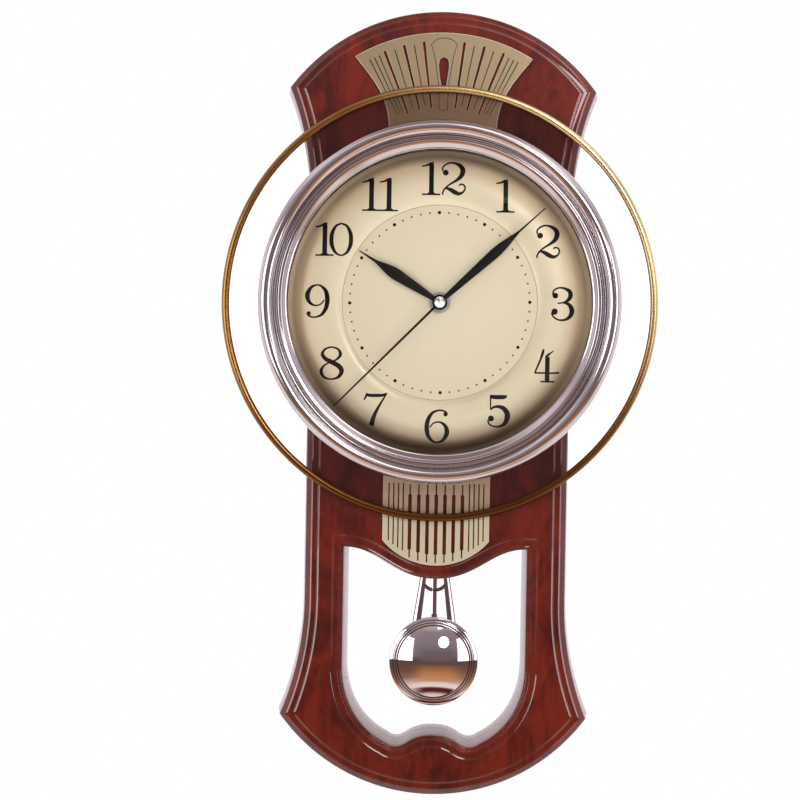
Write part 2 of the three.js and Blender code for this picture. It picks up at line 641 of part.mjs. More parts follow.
/** Swinging lever of the drive, hung on its pivot, with a magnet on its front and a peg at its foot. */
function swingLever() {
  const shape = new THREE.Shape();
  shape.moveTo(-2.5, PEG_Z - 3);
  shape.lineTo(2.5, PEG_Z - 3);
  shape.lineTo(3.2, PIVOT_Z);
  shape.absarc(0, PIVOT_Z, 4, 0, Math.PI, false);
  const arm = plate(shape, LEVER.front, LEVER.rear, 8);
  const peg = bar(1.2, LEVER.rear - 0.5, ROD.rear + 2, 0, PEG_Z, 16);
  const pegHead = bar(2, ROD.rear + 1, ROD.rear + 2, 0, PEG_Z, 16);
  return cut(join(arm, peg, pegHead), bar(1.3, -50, -10, 0, PIVOT_Z, 16));
}

const pivotPin = () => bar(1, -38.1, -24, 0, PIVOT_Z, 16);
const driveMagnet = () => bar(4, -32.3, LEVER.front - FIT, 0, COIL_Z);
const driveCoil = () => tube(7.6, 2.5, -38.1, -33, 0, COIL_Z);

/** One leg of the frame, running from one height to another: a flat inner part and a sloping outer part. */
function leg(side, topZ, footZ) {
  const corners = [topZ, footZ].flatMap((z) => {
    const below = LEG.topZ - z;
    const inner = LEG.inner + LEG.innerSlope * below;
    const outer = LEG.outer + LEG.outerSlope * below;
    const ridge = inner + LEG.flatShare * (outer - inner);
    const section = [
      [inner, ROD.front], [ridge, ROD.front], [outer, ROD.rear - 0.4], [outer, ROD.rear], [inner, ROD.rear],
    ];
    return section.map(([x, y]) => new THREE.Vector3(side * x, y, z));
  });
  return new ConvexGeometry(corners);
}

/** Chromed frame: a hanging eye, two flared legs, a centre rod and a small curved cross-piece. */
function pendulumFrame() {
  const footZ = BOB_Z + 12;
  const legs = [-1, 1].map((side) => leg(side, LEG.topZ + 3, footZ));
  const rod = box(-1.55, 1.55, ROD.front, ROD.rear, footZ, PEG_Z - 3);
  const eye = bar(4.2, ROD.front, ROD.rear, 0, PEG_Z);
  const smile = new THREE.Shape([
    ...arc(0, ARCH_BELLY_Z, 11.8, Math.PI + 0.55, 2 * Math.PI - 0.55, 12),
    ...arc(0, ARCH_BELLY_Z, 9.1, 2 * Math.PI - 0.55, Math.PI + 0.55, 12),
  ]);
  const collar = box(-2.4, 2.4, ROD.front - 0.8, ROD.rear, BOB_Z + 35.8, BOB_Z + 38.4);
  const disc = bar(16, ROD.front, ROD.rear, 0, BOB_Z, 24);
  const pieces = [...legs, eye, plate(smile, ROD.front, ROD.rear), collar, disc];
  return cut(join(rod, ...pieces), bar(1.5, -50, -10, 0, PEG_Z, 16));
}

/** Pressed and polished bob: a domed mirror, two raised beads round it, and a flat flange. */
function bobShell() {
  const dome = Array.from({ length: 5 }, (_, i) => {
    const r = (BOB_DOME * i) / 4;
    return [r, -38 + 7 * (r / BOB_DOME) ** 2];
  });
  const beads = [
    [29, -30.5], [29.5, -31.1], [30, -30.5], [30.4, -31.5], [31.2, -31.5], [31.7, -30.3],
    [34.7, -30.3], [BOB_RADIUS, -29.7], [BOB_RADIUS, -27.4],
  ];
  const inside = [[34.1, -27.4], [34.1, -28.6], [29.4, -29.3], [20, -33.4], [10, -36], [0, -36.8]];
  return revolve([...dome, ...beads, ...inside], 28).translate(0, 0, BOB_Z);
}

const bobBack = () =>
  revolve([[0, -28.9], [30, -28.9], [33.8, -28.3], [33.8, -27.3], [0, -27.3]], 28)
    .translate(0, 0, BOB_Z);

// ---------------------------------------------------------------- assembly

const clock = new THREE.Group();
clock.position.z = -KEYHOLE_ABOVE_ARBOR;

function add(name, geometry, material, turn = 0) {
  const mesh = new THREE.Mesh(geometry, material);
  mesh.name = name;
  mesh.rotation.y = rad(turn);
  clock.add(mesh);
}

add('case_front', caseFront(), lacquer());
add('case_side_right', sideRail(0, 200), lacquer());
add('case_side_left', sideRail(-200, 0), lacquer());
add('case_top_rail', topRail(), lacquer());
add('case_bottom_rail', bottomRail(), lacquer());
add('hanger_plate', hangerPlate(), zinc());
add('hanger_screw_left', woodScrew(-14, 216), zinc());
add('hanger_screw_right', woodScrew(14, 216), zinc());
add('top_fan_plate', topPlate(), gilt());
add('bottom_slotted_plate', bottomPlate(), gilt());

add('glass_disc', glassDisc(), smokedGlass());
add('glass_rim_ring', rimRing(), rimGold());
add('glass_spacer', glassSpacer(), rubber());
add('dial_pan', dialPan(), blackPlastic());
add('dial_plate', dialPlate(), champagne());
add('bezel', bezel(), chrome());
add('dial_lens', dialLens(), clearGlass());

add('hour_hand', hourHand(), blackPaint(), HOUR_ANGLE);
add('minute_hand', minuteHand(), blackPaint(), MINUTE_ANGLE);
add('second_hand', secondHand(), blackPaint(), SECOND_ANGLE);
add('hand_cap', handCap(), chrome(), SECOND_ANGLE);
add('hour_pipe', hourPipe(), whitePlastic());
add('minute_pipe', minutePipe(), whitePlastic());
add('second_shaft', secondShaft(), zinc());

add('movement_housing', movementHousing(), greyPlastic());
add('movement_cover', movementCover(), greyPlastic());
add('battery', battery(), finish(0x2c6a3f, 0.4, 0.4));
add('battery_contact_positive', positiveContact(), zinc());
add('battery_contact_negative', negativeContact(), zinc());
add('rubber_gasket', rubberGasket(), rubber());
add('bush_washer', bushWasher(), zinc());
add('bush_nut', bushNut(), zinc());
add('time_set_knob', timeSetKnob(), blackPlastic());

add('swing_lever', swingLever(), whitePlastic());
add('swing_pivot_pin', pivotPin(), zinc());
add('drive_magnet', driveMagnet(), zinc());
add('drive_coil', driveCoil(), copper());
add('pendulum_frame', pendulumFrame(), chrome());
add('bob_shell', bobShell(), chrome());
add('bob_back', bobBack(), chrome());

export default clock;
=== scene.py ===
import math

import bmesh
import bpy
import numpy as np
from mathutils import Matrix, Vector, geometry

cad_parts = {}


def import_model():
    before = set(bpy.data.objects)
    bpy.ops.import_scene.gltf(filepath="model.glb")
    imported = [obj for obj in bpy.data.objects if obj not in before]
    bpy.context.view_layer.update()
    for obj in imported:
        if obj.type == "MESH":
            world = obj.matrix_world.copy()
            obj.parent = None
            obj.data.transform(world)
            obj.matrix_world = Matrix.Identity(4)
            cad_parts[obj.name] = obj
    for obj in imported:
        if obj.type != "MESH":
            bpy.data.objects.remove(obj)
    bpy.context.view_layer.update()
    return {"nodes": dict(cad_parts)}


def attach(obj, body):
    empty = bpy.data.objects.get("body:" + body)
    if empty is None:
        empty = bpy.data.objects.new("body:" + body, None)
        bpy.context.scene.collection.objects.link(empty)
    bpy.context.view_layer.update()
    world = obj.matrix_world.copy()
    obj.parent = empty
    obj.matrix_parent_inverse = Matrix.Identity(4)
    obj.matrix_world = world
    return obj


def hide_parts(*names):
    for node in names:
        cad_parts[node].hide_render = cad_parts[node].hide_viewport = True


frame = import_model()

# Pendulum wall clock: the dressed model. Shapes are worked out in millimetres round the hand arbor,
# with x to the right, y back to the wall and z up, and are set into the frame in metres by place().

MM = 0.001
ARBOR_Z = -201.0  # the arbor's height in the frame, mm
FIT = 0.3

# Case
END_RADIUS = 150.0
TOP_ARC_Z = 82.2
BOTTOM_ARC_Z = -239.3
WAIST = 103.2
CORNER = 121.4
TOP_FLARE_Z = 76.0
BOTTOM_FLARE_Z = -235.0
FACE_Y = -45.0
EDGE_Y = -37.4
BOARD_BACK_Y = -31.0
POCKET_FLOOR_Y = -42.0
FRAME_FRONT_Y = BOARD_BACK_Y + FIT
CASE_DRAFT = 0.09
RAIL = 18.3
TOP_RAIL = 24.3
TOP_JOINT_Z = 156.0
BOTTOM_JOINT_Z = -300.0
WINDOW_HALF = 72.4
WINDOW_TOP_Z = -193.4
ARCH_BELLY_Z = -217.8
WINDOW_SIDE_END_Z = -286.8
WAVE_TOP_Z = -341.7
WINDOW_TAPER = 0.05
FAN_CENTRE_Z = 79.6
PLATE_FRONT_Y = -46.7
PLATE_BACK_Y = -45.3

# Glass, dial and bezel
GLASS_RADIUS = 167.9
GLASS_FRONT_Y = -51.6
GLASS_BACK_Y = -48.6
RIM_RADIUS = 168.7
RIM_TUBE = 3.2
DIAL_Y = -60.8
DIAL_SHEET = 0.8
LENS_RADIUS = 122.6
FLANGE_Y = -57.2  # front of the dial's flat flange
TURN = 2 * math.pi
BUSH_HOLE = 5.2
MINUTE_CIRCLE = 77.0  # the raised flat centre of the dial
DOT_CIRCLE = 70.4
NUMERAL_CIRCLE = 96.8
NUMERAL_HEIGHT = 26.0

# Hands, degrees clockwise from twelve
HOUR_ANGLE = 301.7
MINUTE_ANGLE = 47.3
SECOND_ANGLE = 224.6
DIAL_TURN = -1.2  # the minute track sits a little askew
NUMERAL_TURN = -0.3
HOUR_FACES = -65.0, -64.4  # front and back of the hour hand
MINUTE_FACES = -66.8, -66.2

BOB_Z = -284.8
BOB_RADIUS = 35.3
BOB_DOME = 28.6
ROD_FRONT_Y, ROD_REAR_Y = -26.9, -25.3
PEG_Z = -89.0
LEG_BEVEL = 0.44


# ---- node trees


def srgb(red, green, blue):
    """Linear colour of an sRGB colour given from 0 to 255."""
    c = np.array([red, green, blue]) / 255.0
    linear = np.where(c <= 0.04045, c / 12.92, ((c + 0.055) / 1.055) ** 2.4)
    return (*linear.tolist(), 1.0)


class Value:
    """An output socket that takes part in sums as a number does, adding Math nodes to its tree."""

    def __init__(self, nodes, socket):
        self.nodes = nodes
        self.socket = socket

    def _sum(self, operation, first, second=0.0, clamp=False):
        return self.nodes.add("Math", {"operation": operation, "use_clamp": clamp}, {0: first, 1: second})

    def __add__(self, other):
        return self._sum("ADD", self, other)

    def __sub__(self, other):
        return self._sum("SUBTRACT", self, other)

    def __mul__(self, other):
        return self._sum("MULTIPLY", self, other)

    def __truediv__(self, other):
        return self._sum("DIVIDE", self, other)

    def __pow__(self, other):
        return self._sum("POWER", self, other)

    def __rsub__(self, other):
        return self._sum("SUBTRACT", other, self)

    __radd__ = __add__
    __rmul__ = __mul__

    def clamped(self):
        return self._sum("ADD", self, 0.0, clamp=True)


class Nodes:
    """The node tree of a material or of the world."""

    def __init__(self, tree):
        self.tree = tree

    def add(self, kind, settings=None, values=None, output=0):
        """Adds a node: its settings first, then the values or links of its sockets."""
        node = self.tree.nodes.new("ShaderNode" + kind)
        for name, value in (settings or {}).items():
            if name == "stops":
                elements = node.color_ramp.elements
                while len(elements) < len(value):
                    elements.new(1.0)
                for element, (position, colour) in zip(elements, value):
                    element.position, element.color = position, colour
            else:
                setattr(node, name, value)
        for name, value in (values or {}).items():
            if isinstance(value, Value):
                self.tree.links.new(value.socket, node.inputs[name])
            else:
                node.inputs[name].default_value = value
        return Value(self, node.outputs[output])

    def mixed(self, amount, first, second, blend="MIX"):
        """Colour between two colours, by an amount."""
        return self.add(
            "Mix", {"data_type": "RGBA", "blend_type": blend}, {0: amount, 6: first, 7: second}, output=2
        )

    def outputs(self, value, *names):
        """The named or numbered outputs of the node behind a value."""
        return [Value(self, value.socket.node.outputs[name]) for name in names]

    def rays(self):
        """Whether a ray comes from the camera, off a gloss, or through glass."""
        return self.outputs(self.add("LightPath"), "Is Camera Ray", "Is Glossy Ray", "Is Transmission Ray")

    def smooth(self, value, low, high):
        """0 below low, 1 above high, with a smooth step between."""
        return self.add(
            "MapRange", {"interpolation_type": "SMOOTHSTEP"}, {0: value, 1: low, 2: high, 3: 0.0, 4: 1.0}
        )


class Finish(Nodes):
    """A procedural material round one Principled shader, on Object coordinates in metres."""

    def __init__(self, name, **constants):
        self.material = bpy.data.materials.new(name)
        self.material.use_nodes = True
        super().__init__(self.material.node_tree)
        self.shader = self.tree.nodes["Principled BSDF"]
        for socket, value in constants.items():
            self.shader.inputs[socket.replace("_", " ")].default_value = value
        self.position = self.add("TexCoord", output=3)

    def scaled(self, x, y, z, turn=0.0):
        """Object coordinates with a scale on each axis, after a turn about y."""
        return self.add(
            "Mapping",
            {"vector_type": "POINT"},
            {"Vector": self.position, "Rotation": (0.0, turn, 0.0), "Scale": (x, y, z)},
        )

    def noise(self, vector, detail, roughness=0.5, distortion=0.0):
        values = {"Scale": 1.0, "Detail": detail, "Roughness": roughness, "Distortion": distortion}
        return self.add("TexNoise", None, {"Vector": vector, **values})

    def grain(self, size, detail):
        """Noise of one scale on every axis."""
        return self.noise(self.scaled(size, size, size), detail=detail)

    def axes(self, about_z=0.0):
        """x, y, and height above about_z, all in millimetres."""
        x, y, z = self.outputs(self.add("SeparateXYZ", None, {0: self.position}), 0, 1, 2)
        return x * 1000.0, y * 1000.0, z * 1000.0 - about_z

    def distance(self, x, z):
        """Distance from the axis x = z = 0."""
        return (x * x + z * z) ** 0.5

    def set(self, socket, value):
        if isinstance(value, Value):
            self.tree.links.new(value.socket, self.shader.inputs[socket])
        else:
            self.shader.inputs[socket].default_value = value

    def bump(self, height, depth):
        """Feeds Normal from a height, whose full range is depth metres."""
        self.set("Normal", self.add("Bump", None, {"Strength": 1.0, "Distance": depth, "Height": height}))


# ---- outlines, as arrays of x and z


def arc(cx, cz, r, start, end, steps):
    """Points at the centre plus r times the cosine and sine of steps + 1 even angles."""
    a = np.linspace(start, end, steps + 1)
    return np.stack([cx + r * np.cos(a), cz + r * np.sin(a)], 1)


def circle(cx, cz, r, sides):
    return arc(cx, cz, r, 0, TURN, sides)[:-1]


def around(sides):
    """Even angles round a turn."""
    return np.linspace(0, TURN, sides, endpoint=False)


def bezier(points, steps):
    """Cubic curve: the Bernstein weights of t times the four control points."""
    t = np.linspace(0.0, 1.0, steps + 1)[:, None]
    a, b, c, d = (np.array(p, float) for p in points)
    return (1 - t) ** 3 * a + 3 * (1 - t) ** 2 * t * b + 3 * (1 - t) * t**2 * c + t**3 * d


def through(points, steps):
    """Catmull-Rom curve through rows of any width: the four-point cubic of each span, sampled evenly."""
    p = np.array(points, float)
    p = np.vstack([2 * p[0] - p[1], p, 2 * p[-1] - p[-2]])
    t = (np.arange(steps) / steps)[None, :, None]
    a, b, c, d = (p[i : len(p) - 3 + i, None, :] for i in range(4))
    span = 0.5 * (2 * b + (c - a) * t + (2 * a - 5 * b + 4 * c - d) * t**2 + (3 * b - a - 3 * c + d) * t**3)
    return np.vstack([span.reshape(-1, p.shape[1]), p[-2]])


def mirrored(points):
    return points[::-1] * (-1.0, 1.0)


def tidy(loop):
    """Drops each point that falls on the next one."""
    gap = np.linalg.norm(loop - np.roll(loop, -1, 0), axis=1)
    return loop[gap > 1e-4]


def both_halves(half):
    """Loop of a half outline and its mirror image."""
    return tidy(np.vstack([half, mirrored(half)]))


def offset(loop, distance):
    """Moves an anticlockwise loop outwards by a distance, along each corner's mitre."""
    before = loop - np.roll(loop, 1, 0)
    after = np.roll(loop, -1, 0) - loop
    before /= np.linalg.norm(before, axis=1)[:, None]
    after /= np.linalg.norm(after, axis=1)[:, None]
    mitre = np.stack([before[:, 1] + after[:, 1], -before[:, 0] - after[:, 0]], 1)
    return loop + distance * mitre / (1 + (before * after).sum(1))[:, None]


def eased(profile, radius, steps=4, closed=False):
    """Rounds a profile's corners: a quadratic curve from radius before each corner to radius after it."""
    p = np.array(profile, float)
    before, after = np.roll(p, 1, 0) - p, np.roll(p, -1, 0) - p
    reach = np.broadcast_to(np.asarray(radius, float), (len(p),))[:, None]
    b_len = np.linalg.norm(before, axis=1)[:, None] + 1e-9
    a_len = np.linalg.norm(after, axis=1)[:, None] + 1e-9
    start = p + before / b_len * np.minimum(reach, 0.45 * b_len)
    end = p + after / a_len * np.minimum(reach, 0.45 * a_len)
    t = np.linspace(0, 1, steps + 1)[None, :, None]
    curves = (1 - t) ** 2 * start[:, None] + 2 * (1 - t) * t * p[:, None] + t**2 * end[:, None]
    if closed:
        return curves.reshape(-1, 2)
    return np.vstack([p[:1], curves[1:-1].reshape(-1, 2), p[-1:]])


def flank(y):
    """How far the side walls have spread at a depth."""
    return CASE_DRAFT * max(y - EDGE_Y, 0.0)


def taper(y):
    """How far the window has narrowed at a depth, as a move outwards of its loop."""
    return WINDOW_TAPER * (FACE_Y - y)


def flare(start, arc_z, way, d, steps=36):
    """Flare moved outwards by d: an arc from the waist, up or down, to where it meets the end's arc."""
    reach = CORNER - WAIST
    rise = abs(arc_z + way * math.sqrt(END_RADIUS**2 - CORNER**2) - start)
    radius = (rise**2 + reach**2) / (2 * reach)
    centre, end = np.array([WAIST + radius, start]), np.array([0.0, arc_z])
    along = centre - end
    gap = np.linalg.norm(along)
    a = (gap**2 + (END_RADIUS + d) ** 2 - (radius - d) ** 2) / (2 * gap)
    h = math.sqrt((END_RADIUS + d) ** 2 - a**2)
    corner = end + (a * along + way * h * np.array([-along[1], along[0]])) / gap
    turn = math.asin(abs(corner[1] - start) / (radius - d))
    return arc(*centre, radius - d, math.pi, math.pi - way * turn, steps)


def case_half(d=0.0):
    """Right half of the outline moved outwards by d, upwards: end arc, flare, waist, flare, end arc."""
    low = flare(BOTTOM_FLARE_Z, BOTTOM_ARC_Z, -1, d)[::-1]
    high = flare(TOP_FLARE_Z, TOP_ARC_Z, 1, d)
    start = math.atan2(low[0, 1] - BOTTOM_ARC_Z, low[0, 0])
    end = math.atan2(high[-1, 1] - TOP_ARC_Z, high[-1, 0])
    return np.vstack([
        arc(0, BOTTOM_ARC_Z, END_RADIUS + d, -math.pi / 2, start, 60)[:-1], low, high,
        arc(0, TOP_ARC_Z, END_RADIUS + d, end, math.pi / 2, 60)[1:],
    ])


def case_loop(d=0.0):
    half = case_half(d)
    return np.vstack([half, mirrored(half)[1:-1]])


def window_half(steps=14):
    """Right half of the window: wave crest, trough, side, and the arch back to the middle."""
    side = WINDOW_HALF
    return np.vstack([
        bezier([(0, WAVE_TOP_Z), (8, WAVE_TOP_Z), (12, -342.7), (18.8, -346.6)], steps),
        bezier([(18.8, -346.6), (26.8, -352.6), (32.2, -351.6), (37.3, -347.9)], steps),
        bezier([(37.3, -347.9), (54.5, -339.8), (side, -320.1), (side, WINDOW_SIDE_END_Z)], steps),
        bezier([(side, WINDOW_TOP_Z), (44, WINDOW_TOP_Z), (34, ARCH_BELLY_Z), (0, ARCH_BELLY_Z)], 2 * steps),
    ])


def window_loop():
    return both_halves(window_half())


# ---- forms


def linked(name, data):
    """New object in the scene."""
    thing = bpy.data.objects.new(name, data)
    bpy.context.scene.collection.objects.link(thing)
    return thing


class Form:
    """Gathers the patches of one piece and makes its mesh."""

    def __init__(self):
        self.points = []
        self.faces = []
        self.count = 0

    def patch(self, points, faces):
        self.points.append(np.asarray(points, float).reshape(-1, 3))
        self.faces.extend((np.asarray(faces) + self.count).tolist())
        self.count += len(self.points[-1])

    def grid(self, p, wrap_u=False, wrap_v=False):
        """Quads over an array of points [u, v, 3], joined round where it wraps."""
        nu, nv = p.shape[:2]
        across, along = np.arange(nu if wrap_u else nu - 1), np.arange(nv if wrap_v else nv - 1)
        u, v = np.meshgrid(across, along, indexing="ij")
        u2, v2 = (u + 1) % nu, (v + 1) % nv
        self.patch(p, np.stack([u * nv + v, u2 * nv + v, u2 * nv + v2, u * nv + v2], -1).reshape(-1, 4))

    def turned(self, profile, sides=128, x=0.0, z=0.0):
        """Profile rows [radius, y] at even angles round the y axis through x and z."""
        profile = np.asarray(profile, float)
        a = around(sides)
        r, y = profile[:, :1], np.broadcast_to(profile[:, 1:], (len(profile), sides))
        self.grid(np.stack([x + r * np.sin(a), y, z + r * np.cos(a)], -1), wrap_v=True)

    def walls(self, loop, profile, sign):
        """A profile of [distance, y] rows carried round a loop, which is moved by each distance."""
        moved = loop if callable(loop) else lambda d: offset(loop, d)
        self.rings([(moved(sign * d), y) for d, y in profile])

    def rings(self, loops):
        """Wall through (loop, y) pairs, all of one number of points."""
        self.grid(np.stack([np.insert(loop, 1, y, axis=1) for loop, y in loops]), wrap_v=True)

    def cap(self, loops, y):
        """Flat face at one depth, bounded by a loop and the loops of its holes."""
        flat = np.vstack(loops)
        triangles = geometry.tessellate_polygon([loop.tolist() for loop in loops])
        self.patch(np.insert(flat, 1, y, axis=1), triangles)

    def bar(self, rings):
        """Straight bar through rings of points, with flat ends."""
        self.grid(np.stack(rings), wrap_v=True)
        for ring in rings:
            self.patch(ring, geometry.tessellate_polygon([ring.tolist()]))

    def panel(self, outline, edge, openings=()):
        """Plate with a profiled edge and openings as (loop, edge) pairs. An edge runs from front to back."""
        front_y, back_y = edge[0][1], edge[-1][1]
        self.walls(outline, edge, -1)
        front = [offset(outline, -edge[0][0])]
        back = [offset(outline, -edge[-1][0])]
        for loop, lip in openings:
            self.walls(loop, lip, 1)
            front.append(offset(loop, lip[0][0]))
            back.append(offset(loop, lip[-1][0]))
        self.cap(front, front_y)
        self.cap(back, back_y)

    def turned_to(self, angle):
        """Turns the whole form clockwise from twelve, in degrees, as seen from the front."""
        c, s = math.cos(math.radians(angle)), math.sin(math.radians(angle))
        turn = np.array([[c, 0, -s], [0, 1, 0], [s, 0, c]])
        self.points = [p @ turn for p in self.points]
        return self

    def place(self, name, body, slot, finish, replaces=(), crease=35.0):
        """Welds the patches, turns the faces outwards and sets the piece into the frame."""
        points = (np.vstack(self.points) + (0.0, 0.0, ARBOR_Z)) * MM
        mesh = bpy.data.meshes.new(name)
        mesh.from_pydata(points.tolist(), [], self.faces)
        shell = bmesh.new()
        shell.from_mesh(mesh)
        bmesh.ops.remove_doubles(shell, verts=shell.verts, dist=2e-6)
        bmesh.ops.recalc_face_normals(shell, faces=shell.faces)
        shell.to_mesh(mesh)
        shell.free()
        mesh.shade_smooth()
        mesh.set_sharp_from_angle(angle=math.radians(crease))
        piece = linked(name, mesh)
        mesh.materials.append(finish.material)
        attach(piece, body)
        if replaces:
            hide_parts(*replaces)
        return piece


# ---- finishes


def lacquered_wood():
    """Red-brown stained wood with a mottled figure and dark flecks. Its gloss coat is made stronger on the
    bevels of the mouldings at the sides, the upper right and the foot, as a painted highlight, and on the
    window walls; these are known by their depth behind the face.
    """
    f = Finish("lacquered_wood", Specular_IOR_Level=0.08, Coat_Roughness=0.03, Coat_IOR=2.0)
    x, y, z = f.axes(ARBOR_Z)
    depth = y - FACE_Y
    highlight_bevels = f.smooth(depth, 0.03, 0.08) - f.smooth(depth, 0.58, 0.66)
    highlight_bevels = highlight_bevels + f.smooth(depth, 1.73, 1.78) - f.smooth(depth, 2.2, 2.3)
    right = f.smooth(x + f.smooth(z, 60.0, 100.0) * 85.0, 85.0, 110.0)
    low = f.smooth(z, -330.0, -300.0) * f.smooth(-190.0 - z, 0.0, 10.0)
    sides = right + f.smooth(0.0 - x, 85.0, 110.0) + low
    walls = f.smooth(depth, 8.0, 9.0)
    figure = f.noise(f.scaled(26.0, 26.0, 15.0, 0.5), detail=6.0, roughness=0.62, distortion=1.6)
    flecks = f.noise(f.scaled(150.0, 150.0, 34.0, 0.25), detail=4.0, roughness=0.6, distortion=0.8)
    cloud = f.grain(9.0, 2.0)
    tone = f.smooth(figure * 0.6 + flecks * 0.22 + cloud * 0.18, 0.37, 0.6)
    f.set("Base Color", f.mixed(tone, srgb(70, 14, 8), srgb(114, 31, 16)))
    f.set("Roughness", 0.3 + flecks * 0.15)
    # Painted highlight: the coat is stronger on the moulding bevels at the sides and foot; the window walls
    # get more coat too.
    f.set("Coat Weight", 0.4 + cloud * 0.04 + highlight_bevels * sides.clamped() * 0.5 + walls * 0.3)
    f.bump(f.noise(f.scaled(45.0, 45.0, 30.0), detail=2.0), 0.00006)
    return f


def gilt_sheet(name, dark, light, metallic):
    """Satin gold sheet with a fine upright brushing, with a painted highlight on its bevels and painted
    shade in its cuts.
    """
    f = Finish(name, Specular_IOR_Level=0.5)
    _, y, _ = f.axes(ARBOR_Z)
    brush = f.noise(f.scaled(1500.0, 1500.0, 22.0), detail=3.0)
    wear = f.noise(f.scaled(20.0, 20.0, 14.0), detail=3.0)
    cut_shade = f.smooth(y, PLATE_FRONT_Y + 0.11, PLATE_FRONT_Y + 0.25)
    face = f.mixed(wear * 0.6 + brush * 0.25, srgb(*dark), srgb(*light))
    # Painted highlight: the bevels just behind the front face are paler.
    face = f.mixed(f.smooth(y, PLATE_FRONT_Y + 0.005, PLATE_FRONT_Y + 0.02), face, srgb(238, 226, 196))
    # Painted shade: the cut walls and engraved lines deeper than the bevels go dark brown and lose their
    # metal.
    f.set("Base Color", f.mixed(cut_shade, face, srgb(30, 20, 14)))
    f.set("Metallic", metallic - cut_shade * (metallic - 0.1))
    f.set("Roughness", 0.3 + brush * 0.14)
    f.bump(brush, 0.00002)
    return f


def polished_gold():
    """Gold plating on the rim tube, slightly uneven, with a painted highlight at the upper right and painted
    shade, bronze, at the foot.
    """
    f = Finish("polished_gold", Metallic=1.0)
    uneven = f.grain(40.0, 3.0)
    x, _, z = f.axes(ARBOR_Z)
    plating = f.mixed(uneven, srgb(146, 102, 54), srgb(176, 134, 80))
    # Painted highlight: paler towards the upper right.
    plating = f.mixed(f.smooth(x + z, 60.0, 240.0), plating, srgb(236, 214, 160))
    # Painted shade: bronze towards the foot.
    f.set("Base Color", f.mixed(f.smooth(z, -60.0, -165.0), plating, srgb(104, 66, 34)))
    f.set("Roughness", 0.2 + uneven * 0.06)
    return f


def chromed(name="polished_chrome", tint=(222, 215, 218), haze=0.1):
    """Bright chrome with faint polishing marks."""
    f = Finish(name, Metallic=1.0)
    marks = f.grain(300.0, 4.0)
    cloud = f.grain(18.0, 2.0)
    dark = tuple(0.88 * c for c in tint)
    f.set("Base Color", f.mixed(cloud, srgb(*dark), srgb(*tint)))
    f.set("Roughness", haze + marks * 0.02 + cloud * 0.02)
    return f


def bob_chrome():
    """Mirror chrome, with painted shade in dark rings along the grooves beside the bob's two beads."""
    f = chromed("bob_chrome", (214, 204, 208), 0.01)
    x, _, z = f.axes(ARBOR_Z + BOB_Z)
    radius = f.distance(x, z)
    unshaded = 1.0
    for groove in (28.7, 30.5, 32.4):
        gap = f.add("Math", {"operation": "ABSOLUTE"}, {0: radius - groove})
        unshaded = unshaded * f.smooth(gap, 0.0, 0.65)
    # Painted shade: dark rings at the grooves between the bright bead lines.
    f.set("Base Color", f.mixed(unshaded, srgb(52, 38, 41), srgb(210, 200, 204)))
    return f


def champagne_dial():
    """Pearly champagne paint, with painted shade on the slope, darkest on its low side, and a painted shadow
    in the corner under the bezel.
    """
    f = Finish("champagne_dial", Metallic=0.25, Coat_Weight=0.25, Coat_Roughness=0.2)
    x, _, z = f.axes(ARBOR_Z)
    radius = f.distance(x, z)
    lean = z / radius
    low = f.smooth(lean, 0.05, -1.0)
    slope = f.smooth(radius, 90.0, 115.0)
    corner = f.smooth(radius, 107.5, 115.0) * (0.12 + lean * lean * 0.6)
    pearl = f.grain(900.0, 2.0)
    cloud = f.grain(12.0, 2.0)
    centre = f.mixed(f.smooth(radius, 20.0, 90.0), srgb(211, 195, 168), srgb(207, 190, 161))
    # Painted shade: the slope darkens towards its low side.
    edge = f.mixed(low, srgb(208, 176, 142), srgb(118, 86, 62))
    sheet = f.mixed(slope * (0.92 + cloud * 0.08), centre, edge)
    # Painted shadow: dark brown in the corner under the bezel, strongest at the top and bottom.
    f.set("Base Color", f.mixed(corner, sheet, srgb(62, 42, 28)))
    f.set("Roughness", 0.36 + pearl * 0.1)
    f.bump(pearl, 0.000012)
    return f


def smoked_glass():
    """Brown-grey smoked glass, clear enough to show the case behind it."""
    f = Finish("smoked_glass", IOR=1.3, Transmission_Weight=1.0)
    dust = f.grain(140.0, 3.0)
    f.set("Base Color", f.mixed(dust, srgb(222, 209, 207), srgb(229, 216, 214)))
    f.set("Roughness", dust * 0.015)
    return f


def clear_glass():
    f = Finish("clear_glass", IOR=1.1, Transmission_Weight=1.0)
    dust = f.grain(120.0, 3.0)
    f.set("Base Color", f.mixed(dust, srgb(250, 252, 251), srgb(255, 255, 255)))
    f.set("Roughness", dust * 0.01)
    return f


def black_enamel():
    """Gloss black paint of the hands and the printed numerals."""
    f = Finish("black_enamel", Specular_IOR_Level=0.12, Coat_Weight=0.05, Coat_Roughness=0.15)
    speckle = f.grain(700.0, 2.0)
    f.set("Base Color", f.mixed(speckle, srgb(14, 9, 8), srgb(26, 18, 16)))
    f.set("Roughness", 0.3 + speckle * 0.15)
    return f


def moulded(name, dark, light, roughness=0.45, grain=1100.0):
    """Moulded plastic or rubber with a fine pebbled grain."""
    f = Finish(name)
    pebble = f.grain(grain, 2.0)
    cloud = f.grain(25.0, 2.0)
    f.set("Base Color", f.mixed(cloud * 0.7 + pebble * 0.3, srgb(*dark), srgb(*light)))
    f.set("Roughness", roughness + pebble * 0.12)
    f.bump(pebble, 0.00004)
    return f


def plated(name, dark, light, roughness=0.28):
    """Plated or turned metal with fine round marks."""
    f = Finish(name, Metallic=1.0)
    marks = f.grain(900.0, 3.0)
    spots = f.grain(90.0, 3.0)
    f.set("Base Color", f.mixed(spots, srgb(*dark), srgb(*light)))
    f.set("Roughness", roughness + marks * 0.15)
    f.bump(marks, 0.00001)
    return f


